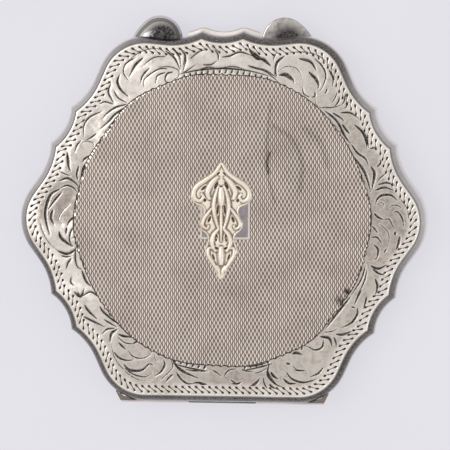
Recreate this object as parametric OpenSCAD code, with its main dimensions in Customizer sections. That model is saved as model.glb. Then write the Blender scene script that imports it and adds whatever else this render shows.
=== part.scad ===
// Powder compact: a six-lobed silver box, 80 mm across, that opens on a three-knuckle hinge.
// Z is up, X runs along the hinge, the thumb pieces are at -Y and the hinge at +Y.
// The origin is the centre of the flat underside.

/* [Outline] */
// Distance from the centre to the tip of a lobe
tip_r = 40; // [38:0.5:42]
// Radius of a lobe's round end
lobe_r = 10; // [9:0.25:11]
// Radius of the hollow flank beside a lobe
flank_r = 12.5; // [12:0.1:13]
// Angle where a lobe turns into its flank
flank_turn = 36; // [35:0.5:37]
// Length of the straight between a lobe and its flank
flank_straight = 2.9; // [2.5:0.1:3.3]
// Distance from the centre to the middle of a side
side_r = 36; // [35.5:0.1:36.5]
// Radius of the hollow between a side's two cusps
hollow_r = 9; // [8:0.1:10]

/* [Shells] */
// Height of the base, from its underside to its rim
base_h = 5.15; // [5.1:0.05:5.3]
// Height of the lid, from its rim to its flat top
lid_h = 4.35; // [4.3:0.05:4.8]
// Gap between the two rims when the lid is shut
seam_gap = 0.1; // [0.05:0.05:0.15]
// How far the rim stands out from the edge of the flat top
edge_flare = 1.7; // [1.4:0.1:1.9]
// Thickness of the silver sheet
sheet = 0.7; // [0.6:0.05:0.75]

/* [Hinge] */
// Radius of the hinge barrel
barrel_r = 1.2; // [1.1:0.05:1.25]
// Length of the hinge barrel
barrel_l = 40.2; // [36:0.2:40.4]
// Radius of the hinge pin
pin_r = 0.5; // [0.4:0.05:0.6]

/* [Thumb pieces] */
// Distance of each thumb piece from the middle
thumb_x = 12.5; // [12:0.1:13]
// Radius of a thumb piece
thumb_r = 4.45; // [4:0.05:4.8]
// Thickness of a thumb piece
thumb_h = 2.3; // [2:0.1:2.6]
// How far the base's lip stands out between the thumb pieces
lip_out = 0.8; // [0.4:0.1:1]

/* [Inside] */
// Radius of the mirror
mirror_r = 25.5; // [24.5:0.25:26]
// Inner radius of the powder pan
pan_r = 24; // [23:0.25:24.25]
// Radius of the puff
puff_r = 22.5; // [21:0.25:22.75]

/* [Hidden] */

silver = [0.80, 0.78, 0.75];
silver_engraved = [0.72, 0.69, 0.65];
gilt = [0.88, 0.76, 0.55];
gold_tone = [0.90, 0.80, 0.66];
steel = [0.62, 0.63, 0.65];

sides = 6;
step = 360 / sides;
round_fn = 96;
small_fn = 48;
cut = 1;                                  // how far a cutting tool runs past what it cuts

seam_z = base_h + seam_gap / 2;
lid_z0 = base_h + seam_gap;               // the lid's rim
lid_z1 = lid_z0 + lid_h;                  // the lid's flat top
shoulder_turn = 65;                       // how far the edge has turned when it meets the flat

// The collar stands inside the base's wall and goes up into the lid.
collar_in = 0.9;
collar_t = 0.5;
collar_z0 = 3.3;
collar_z1 = seam_z + 0.9;
lid_in = collar_in - 0.15;                // inner face of the lid's rim, clear of the collar

// The hinge
hinge_y = side_r - 0.8;
gutter_r = barrel_r + 0.1;
knuckle_gap = 0.1;
knuckle_l = (barrel_l - 2 * knuckle_gap) / 3;
knuckle_x = knuckle_l / 2 + knuckle_gap;  // inner end of each outer knuckle
pin_play = 0.03;
bearer_y = hinge_y - 1.9;
lid_bearer_h = 2.5;
bearer_l = barrel_l + 0.8;

// The ledge along the front of the base
lip_h = 1.3;
lip_l = 14;

// The powder side
pan_t = 0.4;
pan_z0 = 0.8;
pan_z1 = 5.0;
pan_floor = 0.3;
deck_t = 0.4;
deck_in = 1.5;
cake_z = pan_z0 + pan_floor;
cake_h = 1.2;
sifter_z = cake_z + cake_h + 0.1;
sifter_h = 0.5;
sifter_w = 1.1;
sifter_r = pan_r - 0.1;
gauze_t = 0.08;
puff_z = sifter_z + sifter_h + 0.1;
puff_h = 1.9;
ribbon_w = 9;
ribbon_t = 0.1;

// The inner door over the powder
door_r = pan_r + 1.2;
door_z = pan_z1 + 0.1;
door_t = 0.4;
door_axis_y = 25.6;
door_axis_z = 5.7;
door_barrel_r = 0.7;
door_pin_r = 0.3;
door_knuckle_l = 5;
door_side_l = 4;
spring_l = 1.6;                           // room for the spring beside the door's knuckle
spring_wire_r = 0.11;
spring_turns = 4;
tab_r = 1.6;

// The mirror, upwards from the frame
frame_t = 0.4;
frame_z = 6.9;
frame_in = 1.1;
mirror_t = 1.2;
mirror_z = frame_z + frame_t;
mirror_lip = 0.9;
bevel_w = 1.6;
bevel_h = 0.5;
card_z = mirror_z + mirror_t;
card_r = mirror_r - 0.2;
seat_w = 1.4;

// The applied ornament
ornament_t = 0.9;
rivet_r = 0.4;
rivet_head_r = 0.8;
rivet_head_h = 0.25;
rivets_y = [-7.4, 7.9];
rivet_play = 0.02;

// The snap that holds the lid shut: a bead on the collar, and a dimple for it in the lid
lug_r = 0.42;
lug_z = seam_z + 0.5;
lug_proud = 0.22;
lug_play = 0.06;

// The wings that fill the corners between the hinge's ends and the lobes
wing_y = side_r - 0.2;
wing_h = 1.6;
wing_x0 = (tip_r - lobe_r) * cos(step);
wing_x1 = barrel_l / 2;
wing_slope = 0.9;

// ---- The outline, inset by d -------------------------------------------------------

function polar(r, a) = r * [cos(a), sin(a)];
function turned(p, a) = [p.x * cos(a) - p.y * sin(a), p.x * sin(a) + p.y * cos(a)];
function angle_of(v) = (atan2(v.y, v.x) + 360) % 360;
function arc(c, r, a0, a1, n) = [for (i = [0 : n]) c + polar(r, a0 + (a1 - a0) * i / n)];
function backwards(l) = [for (i = [len(l) - 1 : -1 : 0]) l[i]];
function mirrored(l) = backwards([for (p = l) [p.x, -p.y]]);

// Where two circles meet, on the right-hand side of the way from c0 to c1
function meeting(c0, r0, c1, r1) =
    let (
        d = norm(c1 - c0),
        u = (c1 - c0) / d,
        a = (r0 * r0 - r1 * r1 + d * d) / (2 * d),
        h = sqrt(r0 * r0 - a * a)
    ) c0 + a * u - h * [u.y, -u.x];

lobe_c = [tip_r - lobe_r, 0];
flank_c = lobe_c + polar(lobe_r + flank_r, flank_turn) + polar(flank_straight, flank_turn + 90);
hollow_c = polar(side_r + hollow_r, step / 2);
lobe_n = 6;
flank_n = 6;
hollow_n = 8;

function cusp(d) = meeting(flank_c, flank_r + d, hollow_c, hollow_r + d);
function half_lobe(d) = arc(lobe_c, lobe_r - d, 0, flank_turn, lobe_n);
function flank(d) =
    arc(flank_c, flank_r + d, flank_turn + 180, angle_of(cusp(d) - flank_c), flank_n);
function hollow(d) =
    let (a = angle_of(cusp(d) - hollow_c))
    arc(hollow_c, hollow_r + d, a, 2 * (180 + step / 2) - a, hollow_n);

// The lobe before each side runs straight into the hinge side, and curls into a cusp at the others.
function wavy_half(d) =
    concat(half_lobe(d), flank(d));
function straight_half(d) = arc(lobe_c, lobe_r - d, 0, step / 2, lobe_n + flank_n);
function half(d, side) = side == 1 ? straight_half(d) : wavy_half(d);
function inner_points(l) = [for (i = [1 : len(l) - 2]) l[i]];
function side_points(d, side) = side == 1 ? [] : inner_points(hollow(d));

// Side k lies between the lobes at k * 60 and (k + 1) * 60 degrees, so side 1 is the hinge side.
function outline(d) = [
    for (k = [0 : sides - 1])
        let (
            before = mirrored(half(d, (k + sides - 1) % sides)),
            after = half(d, k)
        )
        for (p = concat(before, [for (i = [1 : len(after) - 1]) after[i]], side_points(d, k)))
            turned(p, k * step)
];

module outline_plate(d, z, h) {
    translate([0, 0, z]) linear_extrude(h) polygon(outline(d));
}

// A closed solid through the outline at each [z, inset] in turn.
module loft(rings) {
    n = len(outline(0));
    count = len(rings);
    points = [for (r = rings) for (p = outline(r[1])) [p.x, p.y, r[0]]];
    walls = [
        for (k = [0 : count - 2]) for (i = [0 : n - 1])
            let (a = k * n + i, b = k * n + (i + 1) % n)
            for (f = [[a, a + n, b + n], [a, b + n, b]]) f
    ];
    first = [for (i = [0 : n - 1]) i];
    last = [for (i = [n - 1 : -1 : 0]) (count - 1) * n + i];
    polyhedron(points, concat([first], walls, [last]), convexity = 10);
}

// The rounded edge between a rim and a flat, as [share of the height, share of the flare].
shoulder_n = 6;
function shoulder() = [
    for (i = [0 : shoulder_n])
        let (t = shoulder_turn * i / shoulder_n)
        [sin(t) / sin(shoulder_turn), (1 - cos(t)) / (1 - cos(shoulder_turn))]
];

// ---- The two shells ----------------------------------------------------------------

function lid_outer() = [for (s = shoulder()) [lid_z0 + lid_h * s[0], edge_flare * s[1]]];
function lid_inner() = [
    [lid_z1 - sheet, edge_flare + sheet],
    [lid_z1 - sheet - 0.9, edge_flare * 0.35 + sheet],
    [lid_z0 + 1.3, lid_in],
    [lid_z0, lid_in]
];
function base_outer() = [for (s = backwards(shoulder())) [base_h * (1 - s[0]), edge_flare * s[1]]];
function base_inner() = [
    [base_h, collar_in],
    [collar_z0, collar_in],
    [pan_z0 + 0.8, edge_flare * 0.4 + sheet],
    [pan_z0, edge_flare + sheet]
];

module hinge_gutter() {
    along_hinge(barrel_l + 2 * knuckle_gap, 0) cylinder(r = gutter_r, h = barrel_l + 2 * knuckle_gap, $fn = small_fn);
}

// Lays what stands on Z along the hinge's axis, with its middle at x.
module along_hinge(l, x) {
    translate([x - l / 2, hinge_y, seam_z]) rotate([0, 90, 0]) children();
}

module rivet_places() {
    for (y = rivets_y) translate([0, y, 0]) children();
}

module snap_ball(r) {
    translate([0, -(side_r - collar_in) + lug_r - lug_proud, lug_z]) sphere(r = r, $fn = small_fn);
}

module base_shell() {
    color(silver) difference() {
        loft(concat(base_outer(), base_inner()));
        hinge_gutter();
    }
}

module lid_shell() {
    color(silver_engraved) difference() {
        loft(concat(lid_inner(), lid_outer()));
        hinge_gutter();
        snap_ball(lug_r + lug_play);
        rivet_places()
            translate([0, 0, lid_z1 - sheet - cut])
                cylinder(r = rivet_r + rivet_play, h = sheet + 2 * cut, $fn = small_fn);
    }
}

// The collar stops short of the hinge, so that the barrel has room.
module base_collar() {
    color(silver) difference() {
        outline_plate(collar_in, collar_z0, collar_z1 - collar_z0);
        outline_plate(collar_in + collar_t, collar_z0 - cut, collar_z1 - collar_z0 + 2 * cut);
        translate([-bearer_l / 2 - 0.3, bearer_y - 4, collar_z0 - cut])
            cube([bearer_l + 0.6, 8, collar_z1 - collar_z0 + 2 * cut]);
    }
}

module snap_lug() {
    color(silver) intersection() {
        snap_ball(lug_r);
        translate([-1, -side_r - 1, lug_z - 1]) cube([2, collar_in + 1, 2]);
    }
}

// ---- Thumb pieces --------------------------------------------------------------------

dome_n = 8;
thumb_edge = 0.45;
module thumb_dome() {
    rim = [[0, 0], [thumb_r, 0]];
    crown = [
        for (i = [0 : dome_n])
            let (a = 90 * i / dome_n)
            [thumb_r * cos(a), thumb_edge + (thumb_h - thumb_edge) * sin(a)]
    ];
    rotate_extrude($fn = round_fn) polygon(concat(rim, crown));
}

module lid_thumb_piece() {
    color(silver) difference() {
        translate([thumb_x, -side_r + 0.6, lid_z0]) thumb_dome();
        loft(lid_outer());
    }
}

module base_thumb_piece() {
    color(silver) difference() {
        translate([-thumb_x, -side_r + 0.6, base_h]) mirror([0, 0, 1]) thumb_dome();
        loft(base_outer());
    }
}

// A ledge along the base's rim, between the thumb pieces. It follows the outline.
module base_front_lip() {
    lip_z = base_h - lip_h;
    color(silver) difference() {
        intersection() {
            translate([0, 0, lip_z]) linear_extrude(lip_h)
                offset(r = lip_out, $fn = small_fn) polygon(outline(0));
            translate([-lip_l / 2, -side_r - 3, lip_z - cut]) cube([lip_l, 5, lip_h + 2 * cut]);
        }
        loft(base_outer());
    }
}

// ---- Main hinge ----------------------------------------------------------------------

module tube(r, bore, l) {
    difference() {
        cylinder(r = r, h = l, $fn = small_fn);
        translate([0, 0, -cut]) cylinder(r = bore, h = l + 2 * cut, $fn = small_fn);
    }
}

module base_hinge_knuckle(side) {
    color(silver) along_hinge(knuckle_l, side * (knuckle_x + knuckle_l / 2)) tube(barrel_r, pin_r, knuckle_l);
}

module lid_hinge_knuckle() {
    color(silver) along_hinge(knuckle_l, 0) tube(barrel_r, pin_r + pin_play, knuckle_l);
}

module hinge_pin() {
    color(steel) along_hinge(barrel_l, 0) cylinder(r = pin_r, h = barrel_l, $fn = small_fn);
}

// A bar behind the rear wall. Its scoop touches the knuckles that it carries and clears the others.
module bearer(z, h, inset, middle_r, end_r) {
    middle_l = knuckle_l + knuckle_gap;
    color(silver) difference() {
        intersection() {
            translate([-bearer_l / 2, bearer_y, z]) cube([bearer_l, 3, h]);
            outline_plate(inset, z - cut, h + 2 * cut);
        }
        along_hinge(middle_l, 0) cylinder(r = middle_r, h = middle_l, $fn = small_fn);
        for (side = [-1, 1])
            along_hinge(middle_l, side * middle_l)
                cylinder(r = end_r, h = middle_l, $fn = small_fn);
    }
}

// A pair of corner pieces, between the lobes' round ends and the ends of the hinge.
module wings(z, scoop_r) {
    color(silver) difference() {
        for (side = [-1, 1])
            translate([0, 0, z]) linear_extrude(wing_h) difference() {
                polygon([
                    [side * wing_x0, wing_y], [side * wing_x1, wing_y],
                    [side * (wing_x1 + wing_slope), wing_y - 2 * wing_slope], [side * wing_x0, wing_y - 4]
                ]);
                rotate(90 - side * step / 2) translate(lobe_c) circle(r = lobe_r, $fn = 2 * round_fn);
            }
        along_hinge(4 * barrel_l, 0) cylinder(r = scoop_r, h = 4 * barrel_l, $fn = small_fn);
    }
}

module base_hinge_wings() {
    wings(base_h - wing_h, barrel_r);
}

module lid_hinge_wings() {
    wings(lid_z0, gutter_r);
}

module base_hinge_bearer() {
    bearer(collar_z0, base_h - collar_z0, collar_in, gutter_r, barrel_r);
}

module lid_hinge_bearer() {
    bearer(lid_z0, lid_bearer_h, edge_flare * 0.35 + sheet, barrel_r, gutter_r);
}

// ---- Powder side ----------------------------------------------------------------------

module clear_of_bearer(z, h) {
    translate([-bearer_l / 2 - 0.3, bearer_y - 0.1, z - cut]) cube([bearer_l + 0.6, 5, h + 2 * cut]);
}

module deck_plate() {
    z = pan_z1 - deck_t;
    color(gilt) difference() {
        outline_plate(deck_in, z, deck_t);
        translate([0, 0, z - cut]) cylinder(r = pan_r + pan_t + 0.05, h = deck_t + 2 * cut, $fn = round_fn);
        clear_of_bearer(z, deck_t);
    }
}

module powder_pan() {
    color(gilt) translate([0, 0, pan_z0]) difference() {
        cylinder(r = pan_r + pan_t, h = pan_z1 - pan_z0, $fn = round_fn);
        translate([0, 0, pan_floor]) cylinder(r = pan_r, h = pan_z1, $fn = round_fn);
    }
}

module powder_cake() {
    edge = 0.3;
    r = pan_r - 0.15;
    color([0.93, 0.78, 0.68]) translate([0, 0, cake_z]) rotate_extrude($fn = round_fn)
        polygon([[0, 0], [r, 0], [r, cake_h - edge], [r - edge, cake_h], [0, cake_h]]);
}

module sifter_ring() {
    color(gilt) translate([0, 0, sifter_z]) tube(sifter_r, sifter_r - sifter_w, sifter_h, $fn = round_fn);
}

module sifter_gauze() {
    color([0.95, 0.92, 0.86]) translate([0, 0, sifter_z + sifter_h / 2])
        cylinder(r = sifter_r - sifter_w, h = gauze_t, $fn = round_fn);
}

module puff() {
    edge = 0.6;
    color([0.96, 0.90, 0.84]) translate([0, 0, puff_z]) rotate_extrude($fn = round_fn)
        polygon([
            [0, 0], [puff_r - edge, 0], [puff_r, edge], [puff_r, puff_h - edge],
            [puff_r - edge, puff_h], [0, puff_h]
        ]);
}

module puff_ribbon() {
    color([0.93, 0.80, 0.78]) translate([0, 0, puff_z + puff_h]) linear_extrude(ribbon_t)
        intersection() {
            square([2 * puff_r, ribbon_w], center = true);
            circle(r = puff_r - 1, $fn = round_fn);
        }
}

// ---- Inner door ------------------------------------------------------------------------

module along_door_hinge(x) {
    translate([x, door_axis_y, door_axis_z]) rotate([0, 90, 0]) children();
}

door_bore = door_pin_r + pin_play;
door_knuckle_x0 = -door_knuckle_l / 2;
right_x0 = door_knuckle_l / 2 + knuckle_gap;
left_x0 = -door_knuckle_l / 2 - spring_l - door_side_l;

module door_hinge_knuckle_left() {
    color(gilt) along_door_hinge(left_x0) tube(door_barrel_r, door_pin_r, door_side_l);
}

module door_hinge_knuckle_right() {
    color(gilt) along_door_hinge(right_x0) tube(door_barrel_r, door_pin_r, door_side_l);
}

module door_knuckle() {
    color(gilt) along_door_hinge(door_knuckle_x0) tube(door_barrel_r, door_bore, door_knuckle_l);
}

module door_hinge_pin() {
    color(steel) along_door_hinge(left_x0)
        cylinder(r = door_pin_r, h = right_x0 + door_side_l - left_x0, $fn = small_fn);
}

// A torsion spring round the door's pin, swept along a helix.
spring_sides = 6;
spring_steps = 18;
function helix_point(i) =
    let (a = 360 * i / spring_steps, r = door_pin_r + 0.07 + spring_wire_r)
    [r * cos(a), r * sin(a), 0.25 + (spring_l - 0.5) * i / (spring_turns * spring_steps)];
function helix_ring(i) =
    let (
        p = helix_point(i),
        a = 360 * i / spring_steps
    )
    [for (j = [0 : spring_sides - 1])
        let (b = 360 * j / spring_sides)
        p + spring_wire_r * (cos(b) * [cos(a), sin(a), 0] + sin(b) * [0, 0, 1])];

module door_spring() {
    n = spring_turns * spring_steps;
    points = [for (i = [0 : n]) for (p = helix_ring(i)) p];
    walls = [
        for (i = [0 : n - 1]) for (j = [0 : spring_sides - 1])
            let (a = i * spring_sides + j, b = i * spring_sides + (j + 1) % spring_sides)
            for (f = [[a, b, b + spring_sides], [a, b + spring_sides, a + spring_sides]]) f
    ];
    first = [for (j = [spring_sides - 1 : -1 : 0]) j];
    last = [for (j = [0 : spring_sides - 1]) n * spring_sides + j];
    color(steel) along_door_hinge(door_knuckle_x0 - spring_l)
        polyhedron(points, concat([first], walls, [last]), convexity = 10);
}

// A round plate with a straight rear edge, and a tongue that meets the knuckle.
module powder_door() {
    rear_y = door_axis_y - door_barrel_r - 0.2;
    color(gilt) difference() {
        translate([0, 0, door_z]) linear_extrude(door_t) union() {
            difference() {
                circle(r = door_r, $fn = round_fn);
                translate([-door_r, rear_y]) square([2 * door_r, door_r]);
            }
            translate([-door_knuckle_l / 2 + 0.1, rear_y - 1])
                square([door_knuckle_l - 0.2, door_axis_y - rear_y + 1]);
        }
        along_door_hinge(-door_knuckle_l) cylinder(r = door_barrel_r, h = 2 * door_knuckle_l, $fn = small_fn);
    }
}

module door_tab() {
    color(gilt) translate([0, -door_r, door_z + door_t]) difference() {
        cylinder(r = tab_r, h = 0.5, $fn = small_fn);
        translate([-tab_r, 0.4, -cut]) cube([2 * tab_r, tab_r, 3]);
    }
}

// ---- Mirror side -----------------------------------------------------------------------

module mirror_frame() {
    color(gilt) difference() {
        outline_plate(frame_in, frame_z, frame_t);
        translate([0, 0, frame_z - cut])
            cylinder(r = mirror_r - mirror_lip, h = frame_t + 2 * cut, $fn = round_fn);
        clear_of_bearer(frame_z, frame_t);
    }
}

module mirror_glass() {
    color([0.85, 0.89, 0.92]) translate([0, 0, mirror_z]) rotate_extrude($fn = round_fn)
        polygon([
            [0, 0], [mirror_r - bevel_w, 0], [mirror_r, bevel_h],
            [mirror_r, mirror_t], [0, mirror_t]
        ]);
}

module mirror_seat_ring() {
    color(gilt) translate([0, 0, mirror_z])
        tube(mirror_r + 0.1 + seat_w, mirror_r + 0.1, lid_z1 - sheet - mirror_z, $fn = round_fn);
}

module mirror_card() {
    color([0.55, 0.50, 0.44]) difference() {
        translate([0, 0, card_z]) cylinder(r = card_r, h = lid_z1 - sheet - card_z, $fn = round_fn);
        rivet_places()
            translate([0, 0, card_z - cut]) cylinder(r = rivet_head_r + 0.1, h = 3, $fn = small_fn);
    }
}

// ---- Applied ornament --------------------------------------------------------------------

// One side of a palmette: shoulders, a waist, a foot and a point at each end
ornament_side = [
    [0, -11.4], [1.3, -9.4], [3.2, -8.1], [5.1, -6.6], [5.7, -5], [4.4, -3.2], [2.9, -1.6],
    [3.2, -0.2], [4.1, 0.9], [3.2, 2.4], [2.5, 4], [3, 5.8], [2.2, 7.8], [0, 11.6]
];

module ornament_outline() {
    other_side = [for (p = inner_points(backwards(ornament_side))) [-p.x, p.y]];
    polygon(concat(ornament_side, other_side));
}
module ornament() {
    color(gold_tone) difference() {
        translate([0, 0, lid_z1]) linear_extrude(ornament_t) ornament_outline();
        rivet_places()
            translate([0, 0, lid_z1 - cut])
                cylinder(r = rivet_r + rivet_play, h = cut + ornament_t - 0.3, $fn = small_fn);
    }
}

module ornament_rivets() {
    foot = lid_z1 - sheet - rivet_head_h;
    color(gold_tone) rivet_places() union() {
        translate([0, 0, foot]) cylinder(r = rivet_head_r, h = rivet_head_h, $fn = small_fn);
        translate([0, 0, foot]) cylinder(r = rivet_r, h = rivet_head_h + sheet + ornament_t - 0.3, $fn = small_fn);
    }
}

base_shell();
base_collar();
base_thumb_piece();
base_front_lip();
base_hinge_bearer();
base_hinge_wings();
base_hinge_knuckle(-1);  // base_hinge_knuckle_left
base_hinge_knuckle(1);  // base_hinge_knuckle_right
hinge_pin();
snap_lug();
deck_plate();
powder_pan();
powder_cake();
sifter_ring();
sifter_gauze();
puff();
puff_ribbon();
door_hinge_knuckle_left();
door_hinge_knuckle_right();
door_hinge_pin();
door_spring();
lid_shell();
lid_thumb_piece();
lid_hinge_bearer();
lid_hinge_wings();
lid_hinge_knuckle();
ornament();
ornament_rivets();
mirror_card();
mirror_glass();
mirror_seat_ring();
mirror_frame();
powder_door();
door_knuckle();
door_tab();
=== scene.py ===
import math

import bmesh
import bpy
import numpy as np
from mathutils import Matrix, Vector


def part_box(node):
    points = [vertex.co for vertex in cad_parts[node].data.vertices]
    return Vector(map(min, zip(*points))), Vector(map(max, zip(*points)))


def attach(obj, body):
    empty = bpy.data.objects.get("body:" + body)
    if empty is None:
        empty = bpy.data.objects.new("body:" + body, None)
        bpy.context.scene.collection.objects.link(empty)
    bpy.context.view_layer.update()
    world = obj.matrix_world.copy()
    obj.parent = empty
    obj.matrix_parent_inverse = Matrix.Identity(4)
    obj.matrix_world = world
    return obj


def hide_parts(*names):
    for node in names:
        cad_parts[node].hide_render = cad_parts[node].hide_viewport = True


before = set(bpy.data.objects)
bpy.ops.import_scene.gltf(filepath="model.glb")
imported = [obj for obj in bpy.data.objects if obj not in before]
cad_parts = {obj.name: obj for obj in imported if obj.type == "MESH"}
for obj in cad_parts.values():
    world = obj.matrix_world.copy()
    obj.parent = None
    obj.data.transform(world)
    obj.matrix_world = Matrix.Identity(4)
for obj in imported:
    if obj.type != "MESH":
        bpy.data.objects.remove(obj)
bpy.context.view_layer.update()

# Lengths are in millimetres and angles in degrees; a mesh turns them into metres when it is made.
# X runs along the hinge, the thumb pieces are at -Y, and Z is up.
MM = 0.001


def box_mm(node):
    low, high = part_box(node)
    return np.array(low) / MM, np.array(high) / MM


def middle(node):
    low, high = box_mm(node)
    return (low + high) / 2


# ---- Sizes --------------------------------------------------------------------------

LID_LOW, LID_HIGH = box_mm("lid_shell")
LID_RIM, LID_TOP = LID_LOW[2], LID_HIGH[2]
BASE_RIM = box_mm("base_shell")[1][2]
TIP_R = LID_HIGH[0]                    # from the centre to the tip of a lobe
HINGE = middle("hinge_pin")
BARREL_LOW, BARREL_HIGH = box_mm("lid_hinge_knuckle")
BARREL_R = (BARREL_HIGH[2] - BARREL_LOW[2]) / 2

# The outline's other sizes, as in the CAD part
LOBE_R = 10.0
FLANK_R = 12.5
FLANK_TURN = 36
FLANK_STRAIGHT = 2.9
SIDE_R = 36.0
HOLLOW_R = 9.0
SIDES = 6
STEP = 360 / SIDES
HINGE_SIDE = 1
LOBE_N, FLANK_N, HOLLOW_N = 14, 14, 16

EDGE_FLARE = 1.7                       # how far the rim stands out from the edge of the flat top
SHOULDER_TURN = 65                     # how far the edge has turned when it meets the flat
SHEET = 0.7
PLATE_INSET = EDGE_FLARE + 0.28        # where the engraved plates begin
PLATE_T = 0.3                          # how deep the face plates go into the lid

PANEL_R = 28.5                         # the engine-turned circle
GROOVE_PITCH = 0.38
WAVE_L = 1.4


# ---- Outline --------------------------------------------------------------------------

def polar(r, a):
    a = np.radians(a)
    return np.stack([r * np.cos(a), r * np.sin(a)], axis=-1)


def arc(centre, r, a0, a1, n):
    return centre + polar(r, np.linspace(a0, a1, n + 1))


def turned(points, a):
    along, across = polar(1, a), polar(1, a + 90)
    return points[:, :1] * along + points[:, 1:] * across


def angle_of(v):
    return math.degrees(math.atan2(v[1], v[0])) % 360


def mirrored(points):
    return points[::-1] * (1, -1)


def meeting(c0, r0, c1, r1):
    """Where two circles meet, on the left-hand side of the way from c0 to c1."""
    gap = c1 - c0
    d = np.hypot(*gap)
    u = gap / d
    a = (r0 * r0 - r1 * r1 + d * d) / (2 * d)
    h = math.sqrt(r0 * r0 - a * a)
    return c0 + a * u - h * np.array([u[1], -u[0]])


LOBE_C = np.array([TIP_R - LOBE_R, 0])
FLANK_C = (LOBE_C + polar(LOBE_R + FLANK_R, FLANK_TURN)
           + polar(FLANK_STRAIGHT, FLANK_TURN + 90))
HOLLOW_C = polar(SIDE_R + HOLLOW_R, STEP / 2)


def cusp(d):
    return meeting(FLANK_C, FLANK_R + d, HOLLOW_C, HOLLOW_R + d)


def half(d, side):
    """From a lobe's tip to the corner of the side that follows it."""
    if side == HINGE_SIDE:
        return arc(LOBE_C, LOBE_R - d, 0, STEP / 2, LOBE_N + FLANK_N)
    corner = angle_of(cusp(d) - FLANK_C)
    return np.concatenate([
        arc(LOBE_C, LOBE_R - d, 0, FLANK_TURN, LOBE_N),
        arc(FLANK_C, FLANK_R + d, FLANK_TURN + 180, corner, FLANK_N)])


def middle_of_side(d, side):
    """The points between a side's two corners."""
    if side == HINGE_SIDE:
        a = half(d, side)[-1]
        b = turned(a[None] * (1, -1), STEP)[0]
        return a + (b - a) * np.linspace(0, 1, HOLLOW_N + 1)[1:-1, None]
    a = angle_of(cusp(d) - HOLLOW_C)
    return arc(HOLLOW_C, HOLLOW_R + d, a, 2 * (180 + STEP / 2) - a, HOLLOW_N)[1:-1]


def outline(d):
    """The compact's outline, inset by d."""
    parts = []
    for k in range(SIDES):
        before = mirrored(half(d, (k - 1) % SIDES))
        points = np.concatenate([before, half(d, k)[1:], middle_of_side(d, k)])
        parts.append(turned(points, k * STEP))
    return np.concatenate(parts)


def edge_radius(angle, d):
    points = outline(d)
    around = np.degrees(np.arctan2(points[:, 1], points[:, 0]))
    return np.interp(angle, around, np.hypot(*points.T), period=360)


# ---- Meshes ---------------------------------------------------------------------------

def mesh_object(name, points, faces):
    mesh = bpy.data.meshes.new(name)
    mesh.from_pydata((np.asarray(points, float) * MM).tolist(), [], faces)
    piece = bpy.data.objects.new(name, mesh)
    bpy.context.scene.collection.objects.link(piece)
    return piece


def loft(rings, caps=True, wrap=False):
    """Points and faces through closed rings of equal length. wrap joins the last to the first."""
    rings = np.asarray(rings, float)
    m, n = rings.shape[:2]
    index = np.arange(m * n).reshape(m, n)
    above = np.roll(index, -1, axis=0) if wrap else index[1:]
    here = index if wrap else index[:-1]
    quads = np.stack([here, np.roll(here, -1, 1), np.roll(above, -1, 1), above], axis=-1)
    faces = quads.reshape(-1, 4).tolist()
    if caps and not wrap:
        faces += [index[0][::-1].tolist(), index[-1].tolist()]
    return rings.reshape(-1, 3), faces


def at_height(points, z):
    """Flat points lifted to z, which is one height or one for each point."""
    return np.column_stack([points, np.full(len(points), z)])


def outline_rings(profile):
    """One ring of the outline for each (z, inset)."""
    return [at_height(outline(inset), z) for z, inset in profile]


def turned_rings(profile, n, centre=(0, 0)):
    """One circle about a vertical axis for each (radius, z)."""
    angles = np.arange(n) * 360 / n
    return [at_height(np.array(centre) + polar(r, angles), z) for r, z in profile]


def along_x(points, centre):
    """Lays what stands on Z along X, from a centre."""
    points = np.asarray(points)
    return np.column_stack([points[:, 2], points[:, 0], points[:, 1]]) + centre


def applied(piece):
    """The piece with its modifiers worked into its mesh."""
    shape = piece.evaluated_get(bpy.context.evaluated_depsgraph_get())
    mesh = bpy.data.meshes.new_from_object(shape)
    piece.modifiers.clear()
    piece.data = mesh
    return piece


def cut_by(piece, points, faces, operation="DIFFERENCE"):
    """Cuts a closed solid out of the piece."""
    tool = mesh_object("cutter", points, faces)
    modifier = piece.modifiers.new("cut", "BOOLEAN")
    modifier.operation = operation
    modifier.solver = "EXACT"
    modifier.object = tool
    applied(piece)
    bpy.data.objects.remove(tool)
    return piece


def paint(piece, name, values):
    """A number for each vertex, which the materials read by name."""
    layer = piece.data.attributes.new(name, "FLOAT", "POINT")
    layer.data.foreach_set("value", np.asarray(values, np.float32))


def dress(piece, material, body, replaced=(), sharp=40):
    """Gives a piece its finish and its place in the assembly, and hides the CAD nodes it replaces."""
    piece.data.materials.clear()
    piece.data.materials.append(material)
    piece.data.shade_smooth()
    piece.data.set_sharp_from_angle(angle=math.radians(sharp))
    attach(piece, body)
    if replaced:
        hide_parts(*replaced)
    return piece


# ---- Materials ------------------------------------------------------------------------

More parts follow.
